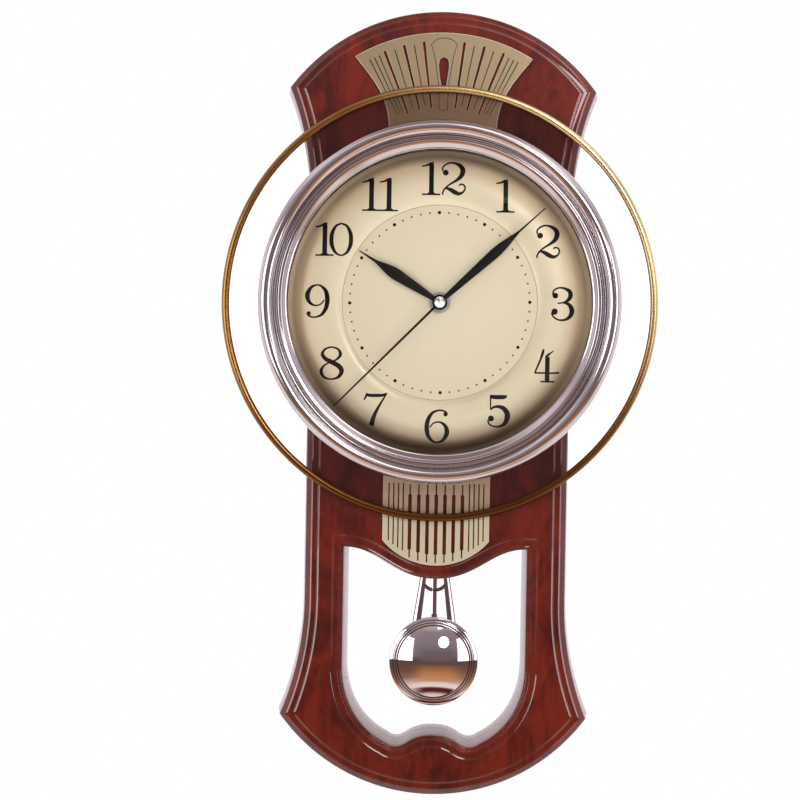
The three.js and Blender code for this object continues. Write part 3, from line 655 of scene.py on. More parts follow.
WOOD = lacquered_wood()
# Two copies of one gilt: the slotted plate's is paler and less metallic, painted lighter light on the lower
# plate.
GILT = gilt_sheet("gilt_sheet", (144, 124, 94), (174, 153, 121), 0.6)
PALE_GILT = gilt_sheet("pale_gilt_sheet", (208, 193, 160), (232, 218, 188), 0.3)
GOLD = polished_gold()
CHROME = chromed()
BOB_CHROME = bob_chrome()
ROD_CHROME = chromed("rod_chrome", (206, 194, 198), 0.06)
BRUSHED = plated("brushed_steel", (196, 192, 194), (232, 230, 232), 0.2)
DIAL = champagne_dial()
SMOKED = smoked_glass()
CLEAR = clear_glass()
ENAMEL = black_enamel()
BLACK_PLASTIC = moulded("black_plastic", (22, 23, 25), (34, 35, 38))
WHITE_PLASTIC = moulded("white_plastic", (222, 219, 210), (238, 236, 230), 0.4)
RUBBER = moulded("rubber", (20, 20, 20), (32, 31, 30), 0.7, 700.0)
ZINC = plated("zinc_plate", (146, 142, 140), (182, 178, 176))
COPPER = plated("copper_wire", (150, 74, 40), (190, 102, 62), 0.3)


# ---- case


def board_edge():
    """Outer moulding from face to back: a bevel and step, a flat band, the same again, a quarter round."""
    return eased([
        (12.0, FACE_Y), (11.2, FACE_Y), (9.9, -44.4), (9.7, -43.6), (9.2, -43.3), (5.8, -43.3), (5.5, -43.3),
        (4.3, -42.75), (4.1, -42.0), (3.6, -41.5), (1.8, -39.9), (0.35, -38.3), (0, EDGE_Y),
        (-flank(BOARD_BACK_Y), BOARD_BACK_Y),
    ], [0, 0.3, 0.12, 0.15, 0.3, 0.2, 0.2, 0.12, 0.12, 0.2, 0.4, 0.8, 0.5, 0])


def window_edge():
    """Window moulding: a groove beside the wall, a flat band, and a double bead at the opening."""
    return eased([
        (10.2, FACE_Y), (9.6, FACE_Y), (8.4, -44.45), (8.1, FACE_Y), (3.8, FACE_Y), (3.3, -44.2),
        (2.9, -44.2), (1.9, -44.5), (1.5, -43.2), (1.0, -43.0), (0.3, -43.2), (0.0, -42.0),
        (taper(BOARD_BACK_Y), BOARD_BACK_Y),
    ], 0.25)


def rectangle(x0, x1, z0, z1):
    return np.array([(x0, z0), (x1, z0), (x1, z1), (x0, z1)], float)


def case_board():
    """Front board: both mouldings, and the movement pocket with the bush hole in its floor."""
    form = Form()
    window = window_loop()
    pocket = rectangle(-31, 31, -86, 31)
    hole = circle(0, 0, BUSH_HOLE, 48)
    edge, lip = board_edge(), window_edge()
    form.walls(case_loop, edge, -1)
    form.walls(window, lip, 1)
    form.walls(pocket, [(0, BOARD_BACK_Y), (0, POCKET_FLOOR_Y)], 1)
    form.walls(hole, [(0, FACE_Y), (0, POCKET_FLOOR_Y)], 1)
    form.cap([case_loop(-edge[0][0]), offset(window, lip[0][0]), hole], FACE_Y)
    form.cap([case_loop(-edge[-1][0]), offset(window, lip[-1][0]), pocket], BOARD_BACK_Y)
    form.cap([pocket, hole], POCKET_FLOOR_Y)
    form.place("case_board", "clock_case", "lacquered_wood", WOOD, ["case_front"])


def run(points, low, high, steps):
    """A rising run of points between two heights, at even steps of height."""
    z = np.linspace(low, high, steps + 1)
    return np.stack([np.interp(z, points[:, 1], points[:, 0]), z], 1)


# Depths of a rail's rings and how far each is drawn in
RAIL_RINGS = [
    (FRAME_FRONT_Y, 0.3), (FRAME_FRONT_Y + 0.3, 0.0), (-15.0, 0.0), (-0.5, 0.0), (-0.15, 0.12), (0.0, 0.4),
]


def rail(name, node, loop_at):
    """Rear rail, whose outline at each depth is loop_at(y), with eased front and back edges."""
    form = Form()
    rings = [(offset(loop_at(y), -inset), y) for y, inset in RAIL_RINGS]
    form.rings(rings)
    for loop, y in (rings[0], rings[-1]):
        form.cap([loop], y)
    form.place(name, "clock_case", "lacquered_wood", WOOD, [node])


def case_rails():
    """Side, bottom and top rails of the rear frame, which meet at two joint heights with a small gap."""
    half = window_half()
    reach = END_RADIUS - TOP_RAIL
    end = math.asin((TOP_JOINT_Z - TOP_ARC_Z) / reach)
    lower = len(half) - np.argmax(half[::-1, 1] < WINDOW_SIDE_END_Z + 1)
    curve = tidy(half[:lower])

    def side_loop(y):
        low, high = BOTTOM_JOINT_Z + FIT / 2, TOP_JOINT_Z - FIT / 2
        bend = curve[curve[:, 0] > 40]
        inner = np.vstack([
            bend, [(WINDOW_HALF, WINDOW_TOP_Z + 6), (WAIST - RAIL, WINDOW_TOP_Z + 14)],
            [(WAIST - RAIL, TOP_JOINT_Z - 60), (reach * math.cos(end), TOP_JOINT_Z)],
        ]) + (taper(y), 0)
        outer = case_half(flank(y))
        return np.vstack([run(outer[60:-60], low, high, 90), run(inner, low, high, 230)[::-1]])

    def bottom_loop(y):
        high = BOTTOM_JOINT_Z - FIT / 2
        flare_up = case_half(flank(y))[60:97]
        outer = np.vstack([case_half(flank(y))[:60], run(flare_up, flare_up[0, 1], high, 12)])
        wave = offset(window_loop(), taper(y))[: len(curve)]
        joint = (np.interp(high, wave[-14:, 1], wave[-14:, 0]), high)
        inner = np.vstack([wave[curve[:, 1] < high - 2], [joint]])
        path = np.vstack([outer, inner[::-1]])
        return both_halves(path)

    def top_loop(y):
        low = TOP_JOINT_Z + FIT / 2
        flare_up = case_half(flank(y))[97:134]
        outer = np.vstack([run(flare_up, low, flare_up[-1, 1], 12), case_half(flank(y))[134:]])
        radius = reach + taper(y)
        hollow = arc(0, TOP_ARC_Z, radius, math.pi / 2, math.asin((low - TOP_ARC_Z) / radius), 50)
        path = np.vstack([hollow, outer])
        return both_halves(path)

    rail("side_rail_right", "case_side_right", side_loop)
    rail("side_rail_left", "case_side_left", lambda y: mirrored(side_loop(y)))
    rail("bottom_rail", "case_bottom_rail", bottom_loop)
    rail("top_rail", "case_top_rail", top_loop)


# ---- gilt plates


def fan_slot(angle, half_angle, inner, outer):
    """Slot along a ray from the fan's centre, as wide as twice the half angle, with a pointed end."""
    a = np.radians([angle - half_angle, angle - half_angle, angle, angle + half_angle, angle + half_angle])
    r = np.array([inner, outer, outer + 1.1, outer, inner])
    loop = np.stack([r * np.sin(a), FAN_CENTRE_Z + r * np.cos(a)], 1)
    return loop[::-1]


# Profiles of the plates: the outer edge, a slot's lip and an engraved line's
PLATE_EDGE = [
    (0.45, PLATE_FRONT_Y), (0.12, PLATE_FRONT_Y + 0.1), (0.0, PLATE_FRONT_Y + 0.4), (0.0, PLATE_BACK_Y),
]
SLOT_LIP = [(0.18, PLATE_FRONT_Y), (0.0, PLATE_FRONT_Y + 0.12), (0.0, PLATE_BACK_Y)]
LINE_LIP = [(0.02, PLATE_FRONT_Y), (0.0, PLATE_FRONT_Y + 0.02), (0.0, PLATE_FRONT_Y + 0.6)]


def top_plate():
    """Fan plate: arc above, hollow sides, slots and engraved rays, and the teardrop with its outline."""
    form = Form()
    tip = (70.2, 194.2)
    sweep = math.atan2(tip[0], tip[1] - FAN_CENTRE_Z)
    side_curve = bezier([(42.5, 137), (43, 165), (58, 178), tip], 20)
    crown = arc(0, FAN_CENTRE_Z, 134.4, math.pi / 2 - sweep, math.pi / 2 + sweep, 70)
    outline = tidy(np.vstack([[(-42.5, 118), (42.5, 118)], side_curve, crown[1:-1], mirrored(side_curve)]))
    right = np.vstack([[(1.0, 167.0)], bezier([(2.6, 176), (4.2, 186), (5.6, 194.4), (0, 194.4)], 16)])
    drop = both_halves(right)
    shield = np.vstack([
        [(2.9, 153.0), (3.8, 174.0)], bezier([(6.0, 188.0), (7.4, 197.0), (8.6, 202.0), (10.2, 204.4)], 8),
        bezier([(10.2, 204.4), (7.0, 208.6), (3.5, 209.4), (0, 209.4)], 10),
    ])
    shield = both_halves(shield)
    openings, lines = [], []
    for side in (-1, 1):
        openings += [(fan_slot(side * a, 0.55, 75, 127.5), SLOT_LIP) for a in (7.2, 14.4, 21.6)]
        lines += [(fan_slot(side * a, 0.2, 78, 126), LINE_LIP) for a in (10.8, 18.0, 24.0, 25.8, 27.6)]
    ring = offset(shield, 0.5)
    form.walls(outline, PLATE_EDGE, -1)
    fronts, backs = [offset(outline, -PLATE_EDGE[0][0])], [outline]
    for loop, lip in openings:
        form.walls(loop, lip, 1)
        fronts.append(offset(loop, lip[0][0]))
        backs.append(loop)
    for loop, lip in lines:
        form.walls(loop, lip, 1)
        fronts.append(offset(loop, lip[0][0]))
        form.cap([loop], lip[-1][1])
    form.walls(ring, LINE_LIP, 1)
    form.walls(shield, LINE_LIP, -1)
    form.cap([ring, shield], LINE_LIP[-1][1])
    form.walls(drop, SLOT_LIP, 1)
    form.cap([*fronts, offset(ring, LINE_LIP[0][0])], PLATE_FRONT_Y)
    form.cap([offset(shield, -LINE_LIP[0][0]), offset(drop, SLOT_LIP[0][0])], PLATE_FRONT_Y)
    form.cap([*backs, drop], PLATE_BACK_Y)
    form.place("fan_plate", "clock_case", "gilt_plate", GILT, ["top_fan_plate"], crease=12)


def bottom_plate():
    """Slotted plate: straight sides, a shallow arc below, and upright slots that follow that arc."""
    form = Form()
    half, side_z, belly_z = 42.2, -187.5, -207.0
    radius = (half**2 + (side_z - belly_z) ** 2) / (2 * (side_z - belly_z))
    centre = belly_z + radius
    sweep = math.asin(half / radius)
    belly = arc(0, centre, radius, -math.pi / 2 - sweep, -math.pi / 2 + sweep, 60)
    outline = np.vstack([belly, [(half, -126), (-half, -126)]])

    def foot(x, lift):
        return centre + lift - math.sqrt(radius**2 - x**2)

    def stepped(x):
        """Wide slot with a thin one running on above and below it, and short shoulders between."""
        wide, thin, low, high = 1.45, 0.6, foot(x, 8.6), -151.0
        half_slot = np.array([
            (thin, foot(x, 2.0)), (thin, low - 0.1), (wide, low + 0.1), (wide, high - 0.1),
            (thin, high + 0.1), (thin, -143.0),
        ])
        return np.vstack([half_slot, mirrored(half_slot)]) + (x, 0)

    places = [x for i in range(4) for x in (26.1 + 3.77 * i, -26.1 - 3.77 * i)]
    fine = [rectangle(x - 0.55, x + 0.55, foot(x, 5.0), -142.0) for x in places]
    slots = [*map(stepped, 6.9 * np.arange(-3, 4)), *fine]
    form.panel(outline, PLATE_EDGE, [(loop, SLOT_LIP) for loop in slots])
    form.place("slotted_plate", "clock_case", "gilt_plate", PALE_GILT, ["bottom_slotted_plate"], crease=12)


# ---- glass, dial and bezel


def glass_and_rim():
    """Glass disc with ground edges, and the rim: a round tube with a groove that holds the glass."""
    form = Form()
    hole = 29
    disc = eased([
        (hole, GLASS_FRONT_Y), (GLASS_RADIUS, GLASS_FRONT_Y),
        (GLASS_RADIUS, GLASS_BACK_Y), (hole, GLASS_BACK_Y),
    ], 0.4, closed=True)
    form.turned(np.vstack([disc, disc[:1]]), 256)
    form.place("glass_disc_fine", "clock_case", "smoked_glass", SMOKED, ["glass_disc"], crease=8)

    form = Form()
    centre = (GLASS_FRONT_Y + GLASS_BACK_Y) / 2
    mouth = math.asin(1.8 / RIM_TUBE)
    a = np.linspace(math.pi + mouth, 3 * math.pi - mouth, 41)
    tube = np.stack([RIM_RADIUS + RIM_TUBE * np.cos(a), centre + RIM_TUBE * np.sin(a)], 1)
    groove = [(GLASS_RADIUS + FIT, centre + 1.8), (GLASS_RADIUS + FIT, centre - 1.8)]
    form.turned(np.vstack([tube, groove, tube[:1]]), 256)
    form.place("rim_tube", "clock_case", "gilt_rim", GOLD, ["glass_rim_ring"])


def dial_front(r):
    """Depth of the dial's front at a radius: flat, a short ramp, the bulge, and the flat flange."""
    knots = through([
        (MINUTE_CIRCLE, DIAL_Y), (78.4, -61.7), (82, -62.5), (88, -62.9), (94, -62.7), (100, -61.9),
        (107, -60.2), (112, -58.5), (115.2, -57.4), (116.4, FLANGE_Y),
    ], 12)
    return np.interp(r, knots[:, 0], knots[:, 1], left=DIAL_Y, right=FLANGE_Y)


def dial():
    form = Form()
    r = np.concatenate([[BUSH_HOLE, 30.0, 60.0], np.linspace(MINUTE_CIRCLE - 0.6, 117.0, 90), [119.3]])
    front = np.stack([r, dial_front(r)], 1)
    back = front[::-1] + (0.0, DIAL_SHEET)
    form.turned(np.vstack([front, back, front[:1]]), 256)
    form.place("dial_face", "clock_case", "dial_sheet", DIAL, ["dial_plate"])


def bezel():
    """Spun bezel: a skirt, a fat torus, a dark groove, and a sloping inner lip over the lens."""
    form = Form()
    a = np.radians(np.linspace(0, 158, 40))
    crown = np.stack([135.0 + 6.2 * np.cos(a), -75.2 - 7.4 * np.sin(a)], 1)
    inner = eased([
        tuple(crown[-1]), (128.5, -76.5), (126.5, -76.3), (125.7, -77.2), (125.3, -79.2), (124.6, -79.6),
        (122.7, -79.1), (121.6, -78.2), (119.7, -76.5), (118.9, -76.1), (118.6, -75.7), (118.6, -74.3),
        (127.6, -74.3),
    ], [0, 0.4, 0.4, 0.4, 0.3, 0.4, 0.4, 0.4, 0.3, 0.3, 0.2, 0.2, 0.2])
    shell = [
        (129.4, -74.9), (130.4, -77.6), (132.2, -80.2), (135.0, -81.3), (138.6, -76.5), (138.6, -52.4),
        (141.2, -52.4),
    ]
    form.turned(np.vstack([crown, inner[1:], shell, crown[:1]]), 256)
    form.place("bezel_ring", "clock_case", "chrome", CHROME, ["bezel"])


def lens():
    """Clear lens, slightly domed inside its flat land: its depth falls with the square of the radius."""
    form = Form()
    r = np.append(np.linspace(0, 117, 24), LENS_RADIUS)
    dome = 1.6 * np.minimum(r / 117, 1) ** 2
    front = np.stack([r, -75.6 + dome], 1)
    back = np.stack([r[::-1], -73.6 + dome[::-1]], 1)
    form.turned(np.vstack([front, back]), 192)
    form.place("lens_dome", "clock_case", "clear_glass", CLEAR, ["dial_lens"])


# ---- dial print

# Strokes of the numerals, as rows of x, height and width, in thousandths of the numeral's height. A
# stroke of one row is a round terminal.


def strokes(*rows):
    return [[(x / 1000, z / 1000, wide / 1000) for x, z, wide in row] for row in rows]


ONE = strokes(
    [(330, 0, 140), (330, 500, 135), (330, 950, 140)],
    [(40, 880, 40), (140, 895, 45), (240, 930, 65), (310, 960, 80), (400, 995, 30)],
    [(50, 22, 44), (330, 22, 44), (600, 22, 44)],
    [(200, 36, 30), (330, 60, 70), (460, 36, 30)],
)
TWO = strokes(
    [(20, 730, 40), (40, 865, 45), (190, 975, 50), (365, 985, 60), (550, 900, 120), (630, 755, 150),
     (575, 580, 125), (420, 440, 75), (230, 320, 50), (90, 190, 45), (25, 60, 40), (50, 15, 35)],
    [(50, 170, 40), (140, 210, 60), (270, 165, 110), (390, 95, 130), (520, 50, 100), (640, 100, 55),
     (700, 210, 45), (665, 310, 45), (570, 335, 45), (520, 290, 40)],
    [(115, 685, 180)],
)
THREE = strokes(
    [(55, 770, 45), (90, 900, 45), (220, 980, 45), (390, 975, 65), (555, 890, 115), (595, 755, 135),
     (520, 620, 95), (380, 545, 45), (200, 515, 35)],
    [(370, 550, 40), (550, 485, 100), (640, 320, 145), (595, 145, 120), (450, 35, 70), (250, 20, 45),
     (90, 110, 45), (25, 245, 45)],
    [(135, 750, 170)],
    [(120, 270, 190)],
)
FOUR = strokes(
    [(420, 0, 135), (420, 400, 130), (420, 770, 135)],
    [(360, 750, 40), (430, 820, 70), (510, 880, 45), (600, 950, 25)],
    [(300, 1000, 50), (275, 880, 75), (200, 660, 55), (50, 300, 45)],
    [(30, 285, 45), (420, 280, 45), (620, 285, 50), (780, 300, 60)],
    [(220, 22, 44), (420, 22, 44), (640, 22, 44)],
)
FIVE = strokes(
    [(85, 925, 100), (220, 905, 120), (420, 905, 120), (530, 915, 100), (590, 960, 30)],
    [(100, 970, 40), (100, 750, 35), (105, 520, 35)],
    [(105, 520, 35), (190, 595, 60), (320, 620, 85), (480, 575, 125), (600, 430, 155), (605, 280, 155),
     (540, 120, 115), (400, 30, 65), (220, 20, 45), (70, 90, 45), (25, 220, 45)],
    [(120, 260, 180)],
)
SIX = strokes(
    [(670, 850, 45), (630, 930, 50), (500, 985, 45), (340, 965, 55), (200, 880, 85), (90, 680, 120),
     (60, 430, 135), (110, 200, 110), (250, 50, 60), (380, 20, 45), (550, 90, 85), (665, 310, 140),
     (610, 520, 100), (450, 630, 50), (270, 600, 40), (150, 470, 35)],
    [(620, 870, 130)],
)
SEVEN = strokes(
    [(80, 930, 70), (200, 910, 90), (450, 910, 90), (600, 925, 75), (710, 985, 30)],
    [(110, 980, 40), (70, 860, 55), (20, 770, 35)],
    [(700, 970, 35), (600, 800, 45), (480, 600, 65), (360, 370, 100), (290, 180, 130), (250, 0, 145)],
)
EIGHT = strokes(
    [(360, 540, 130), (180, 635, 115), (90, 775, 95), (180, 920, 60), (370, 980, 45), (560, 920, 60),
     (635, 770, 95), (540, 625, 60), (360, 540, 40), (150, 430, 55), (55, 255, 100), (150, 80, 70),
     (360, 20, 45), (580, 90, 85), (675, 270, 135), (580, 420, 140), (360, 540, 130)],
)
NINE = [[(0.74 - x, 1.0 - z, w) for x, z, w in stroke] for stroke in SIX]
ZERO = strokes(
    [(355, 980, 45), (190, 900, 70), (85, 700, 110), (60, 500, 120), (85, 300, 110), (190, 100, 70),
     (355, 20, 45), (520, 100, 70), (625, 300, 110), (650, 500, 120), (625, 700, 110), (520, 900, 70),
     (355, 980, 45)],
)
# Each hour's digits with their left edges, and the whole numeral's width
NUMERALS = [
    ([(ONE, 0.06), (TWO, 0.7)], 1.37), ([(ONE, 0.08)], 0.66), ([(TWO, 0.0)], 0.7), ([(THREE, -0.04)], 0.7),
    ([(FOUR, 0.0)], 0.78), ([(FIVE, -0.05)], 0.7), ([(SIX, -0.05)], 0.71), ([(SEVEN, -0.03)], 0.74),
    ([(EIGHT, -0.02)], 0.71), ([(NINE, 0.02)], 0.71), ([(ONE, 0.0), (ZERO, 0.47)], 1.17),
    ([(ONE, 0.0), (ONE, 0.53)], 1.12),
]
PRINT_HEIGHT = 0.06
INK_SPREAD = 0.2  # mm added to every stroke's width


def on_dial(x, z, lift):
    """Points over the dial's front, raised towards the lens by lift."""
    return np.stack([x, dial_front(np.hypot(x, z)) - lift, z], -1)


def ribbon(form, stroke, left, bottom, scale):
    """Stroke as a grid: its middle line plus and minus half its width along the line's normal."""
    path = through(stroke, 10) * scale
    run = np.gradient(path[:, :2], axis=0)
    run /= np.linalg.norm(run, axis=1)[:, None]
    side = np.stack([-run[:, 1], run[:, 0]], 1) * (path[:, 2:] + INK_SPREAD) / 2
    across = np.linspace(1, -1, 5)[None, :, None]
    p = path[:, None, :2] + side[:, None] * across + (left, bottom)
    form.grid(on_dial(p[..., 0], p[..., 1], PRINT_HEIGHT))


def spot(form, x, z, radius, lift=PRINT_HEIGHT, sides=20):
    """Flat round spot: rings at even radii round its centre."""
    a = around(sides)
    r = np.array([0.0, 0.5, 1.0])[:, None] * radius
    form.grid(on_dial(x + r * np.sin(a), z + r * np.cos(a), lift), wrap_v=True)


def dial_print():
    """Numerals upright on their circle, sixty dots, larger at the hours, and the thin minute circle."""
    form = Form()
    for hour, (digits, width) in enumerate(NUMERALS):
        angle = math.radians(30.0 * hour)
        left = NUMERAL_CIRCLE * math.sin(angle) - width * NUMERAL_HEIGHT / 2
        bottom = NUMERAL_CIRCLE * math.cos(angle) - NUMERAL_HEIGHT / 2
        for digit, shift in digits:
            x0 = left + shift * NUMERAL_HEIGHT
            for stroke in digit:
                if len(stroke) > 1:
                    ribbon(form, stroke, x0, bottom, NUMERAL_HEIGHT)
                    continue
                x, z, wide = (part * NUMERAL_HEIGHT for part in stroke[0])
                spot(form, x0 + x, bottom + z, wide / 2)
    form.turned_to(NUMERAL_TURN)
    form.place("hour_numerals", "clock_case", "hand_black", ENAMEL)

    form = Form()
    for minute in range(60):
        a = math.radians(6.0 * minute)
        spot(form, DOT_CIRCLE * math.sin(a), DOT_CIRCLE * math.cos(a), 0.72 if minute % 5 else 1.35)
    a = around(256)
    r = np.array([[MINUTE_CIRCLE - 0.8], [MINUTE_CIRCLE - 0.58]])
    form.grid(on_dial(r * np.sin(a), r * np.cos(a), PRINT_HEIGHT), wrap_v=True)
    form.turned_to(DIAL_TURN)
    form.place("minute_track", "clock_case", "hand_black", ENAMEL)


# ---- hands


def leaf(root, widest, neck, tip):
    """Half outline from [height, half width] pairs.

    The half width grows from the root as a power of height to its widest, falls as a power of a cosine to
    the neck of the needle, and runs straight to the tip.
    """
    t = np.linspace(0, 1, 24)
    rise = np.stack([root + (widest[1] - root) * t**0.87, 5 + (widest[0] - 5) * t], 1)
    fall = neck[1] + (widest[1] - neck[1]) * np.cos(math.pi / 2 * t[1:]) ** 1.35
    return np.vstack([rise, np.stack([fall, widest[0] + (neck[0] - widest[0]) * t[1:]], 1), [tip[::-1]]])


def hand(name, node, body, half, hub, front, back, angle):
    """Flat hand with eased edges over a round hub, turned to its place."""
    half = half[half[:, 1] > hub * 0.6]
    start = math.atan2(half[0, 1], half[0, 0])
    round_hub = arc(0, 0, math.hypot(*half[0]), -math.pi / 2, start, 24)[:-1]
    ring = circle(0, 0, hub, 48)
    loop = tidy(np.vstack([round_hub, half, mirrored(np.vstack([round_hub[1:], half]))]))
    edge = [(0.22, front), (0.06, front + 0.06), (0.0, front + 0.2), (0.0, back)]
    form = Form()
    form.panel(loop, edge)
    form.panel(ring, [(0.2, front - 0.12), (0.05, front - 0.06), (0.0, front + 0.08), (0.0, back + 0.1)])
    form.turned_to(angle)
    form.place(name, body, "hand_black", ENAMEL, [node])


def hands():
    hour = leaf(1.9, (40, 4.7), (60, 1.15), (74.8, 0.4))
    hand("hour_pointer", "hour_hand", "hour", hour, 5.2, *HOUR_FACES, HOUR_ANGLE)
    minute = leaf(1.8, (57, 4.0), (84, 0.75), (110.5, 0.45))
    hand("minute_pointer", "minute_hand", "minute", minute, 6.0, *MINUTE_FACES, MINUTE_ANGLE)
    tail = np.array([
        (1.5, -26.0), (1.4, -14.0), (1.0, -6.0), (1.0, 0.0), (0.95, 4.0), (0.8, 60.0), (0.6, 116.0),
    ])
    loop = both_halves(tail)
    form = Form()
    form.panel(loop, [(0.12, -68.6), (0.0, -68.45), (0.0, -68.1)])
    form.turned_to(SECOND_ANGLE)
    form.place("second_pointer", "second", "hand_black", ENAMEL, ["second_hand"])
    cap = Form()
    dome = [(0, -70.9), (1.5, -70.75), (3.0, -70.15), (4.1, -69.4), (4.5, -68.9), (4.5, -68.7), (0, -68.7)]
    cap.turned(eased(dome, 0.3), 64)
    cap.place("hand_boss", "second", "chrome", BRUSHED, ["hand_cap"])


# ---- pendulum


def bob():
    """Bob: a dome whose depth falls with the square of the radius, two beads in a cosine wave, and a
    sloping flange.
    """
    form = Form()
    r = np.linspace(0, BOB_DOME, 40)
    dome = np.stack([r, -38 + 7 * (r / BOB_DOME) ** 2], 1)
    r = np.linspace(BOB_DOME, 32.4, 30)[1:]
    wave = 0.12 * (1 + np.cos(TURN * (r - 29.6) / 1.86))
    beads = np.stack([r, -31.0 + 0.24 * (r - BOB_DOME) - wave], 1)
    flange = [(34.9, -29.2), (35.2, -29.0), (BOB_RADIUS, -28.7), (BOB_RADIUS, -27.4)]
    inside = [(34.1, -27.4), (34.1, -28.6), (29.4, -29.3), (20, -33.4), (10, -36), (0, -36.8)]
    form.turned(np.vstack([dome, beads, flange, inside]), 192, z=BOB_Z)
    form.place("bob_dome", "pendulum", "chrome", BOB_CHROME, ["bob_shell"], crease=50)


def pendulum_rods():
    """Frame of the pendulum: two bevelled legs that spread from the rod, and a smile between them."""
    form = Form()
    foot = BOB_Z + 12
    for side in (-1, 1):
        rings = []
        for z in (foot, -162.0):
            inner, outer = 1.26 + 0.105 * (-165 - z), 3.5 + 0.1545 * (-165 - z)
            ridge = inner + 0.6 * (outer - inner)
            section = eased([
                (inner, ROD_REAR_Y), (inner, ROD_FRONT_Y), (ridge, ROD_FRONT_Y),
                (outer - 0.7, ROD_FRONT_Y + LEG_BEVEL * (outer - 0.7 - ridge)), (outer, ROD_REAR_Y - 0.3),
                (outer, ROD_REAR_Y),
            ], [0.1, 0.25, 0.1, 0.05, 0.1, 0.1], closed=True) * (side, 1)
            rings.append(np.insert(section, 2, z, axis=1))
        form.bar(rings)
    bar_edge = [(0.35, ROD_FRONT_Y), (0.1, ROD_FRONT_Y + 0.1), (0.0, ROD_FRONT_Y + 0.35), (0.0, ROD_REAR_Y)]
    rod = np.array([
        (-1.9, ROD_REAR_Y), (-1.85, ROD_FRONT_Y + 0.25), (-1.4, ROD_FRONT_Y), (1.5, ROD_FRONT_Y),
        (1.85, ROD_FRONT_Y + 0.6), (1.9, ROD_REAR_Y),
    ])
    form.bar([np.insert(rod, 2, z, axis=1) for z in (foot, PEG_Z - 3)])
    smile = np.vstack([
        arc(0, ARCH_BELLY_Z, 11.8, math.pi + 0.55, TURN - 0.55, 40),
        arc(0, ARCH_BELLY_Z, 9.1, TURN - 0.55, math.pi + 0.55, 40),
    ])
    form.panel(smile, [(0.9, ROD_FRONT_Y), (0.0, ROD_FRONT_Y + 0.9), (0.0, ROD_REAR_Y)])
    nub_edge = [(0.4, ROD_FRONT_Y - 0.6), (0.0, ROD_FRONT_Y), (0.0, ROD_REAR_Y)]
    form.panel(rectangle(-2.4, 2.4, BOB_Z + 34.8, BOB_Z + 37.4), nub_edge)
    eye, hole = circle(0, PEG_Z, 4.2, 48), circle(0, PEG_Z, 1.5, 32)
    form.panel(eye, bar_edge, [(hole, [(0.0, ROD_FRONT_Y), (0.0, ROD_REAR_Y)])])
    form.panel(circle(0, BOB_Z, 16, 64), bar_edge)
    form.place("pendulum_rods", "pendulum", "chrome", ROD_CHROME, ["pendulum_frame"], crease=12)


# ---- pieces kept from the frame

KEPT = {
    "hanger_plate hanger_screw_left hanger_screw_right second_shaft battery battery_contact_positive"
    " battery_contact_negative bush_washer bush_nut swing_pivot_pin drive_magnet": ZINC,
    "dial_pan movement_housing movement_cover time_set_knob": BLACK_PLASTIC,
    "hour_pipe minute_pipe swing_lever": WHITE_PLASTIC,
    "glass_spacer rubber_gasket": RUBBER,
    "drive_coil": COPPER,
    "bob_back": CHROME,
}


def dress_kept():
    for names, finish in KEPT.items():
        for name in names.split():
            mesh = frame["nodes"][name].data
            mesh.materials.clear()
            mesh.materials.append(finish.material)


# ---- stage, lights and camera


# Strengths that are more than the camera's 1
BEHIND_GLASS = 2.0  # the background as rays through glass find it, so that the tinted disc leaves it white
MIRRORED_ROOM = 1.25  # the room as glossy rays find it

# The room's colours from straight down, 0, to straight up, 1
AHEAD = [
    (0.0, 250, 232, 222), (0.08, 244, 222, 210), (0.105, 92, 40, 34), (0.135, 96, 44, 38),
    (0.15, 252, 240, 236), (0.182, 244, 226, 214), (0.205, 214, 160, 112), (0.3, 190, 134, 86),
    (0.375, 146, 102, 76), (0.415, 98, 80, 74), (0.48, 118, 100, 100), (0.56, 116, 104, 106),
    (0.66, 138, 128, 131), (0.8, 150, 140, 143), (0.88, 222, 214, 216), (0.93, 214, 202, 200),
    (0.96, 96, 72, 62),
]
BESIDE = [
    (0.0, 250, 232, 222), (0.17, 242, 224, 216), (0.25, 150, 112, 92), (0.33, 118, 86, 70),
    (0.47, 88, 76, 78), (0.52, 138, 128, 132), (0.75, 156, 146, 150), (0.88, 226, 220, 222),
    (0.96, 120, 96, 88),
]


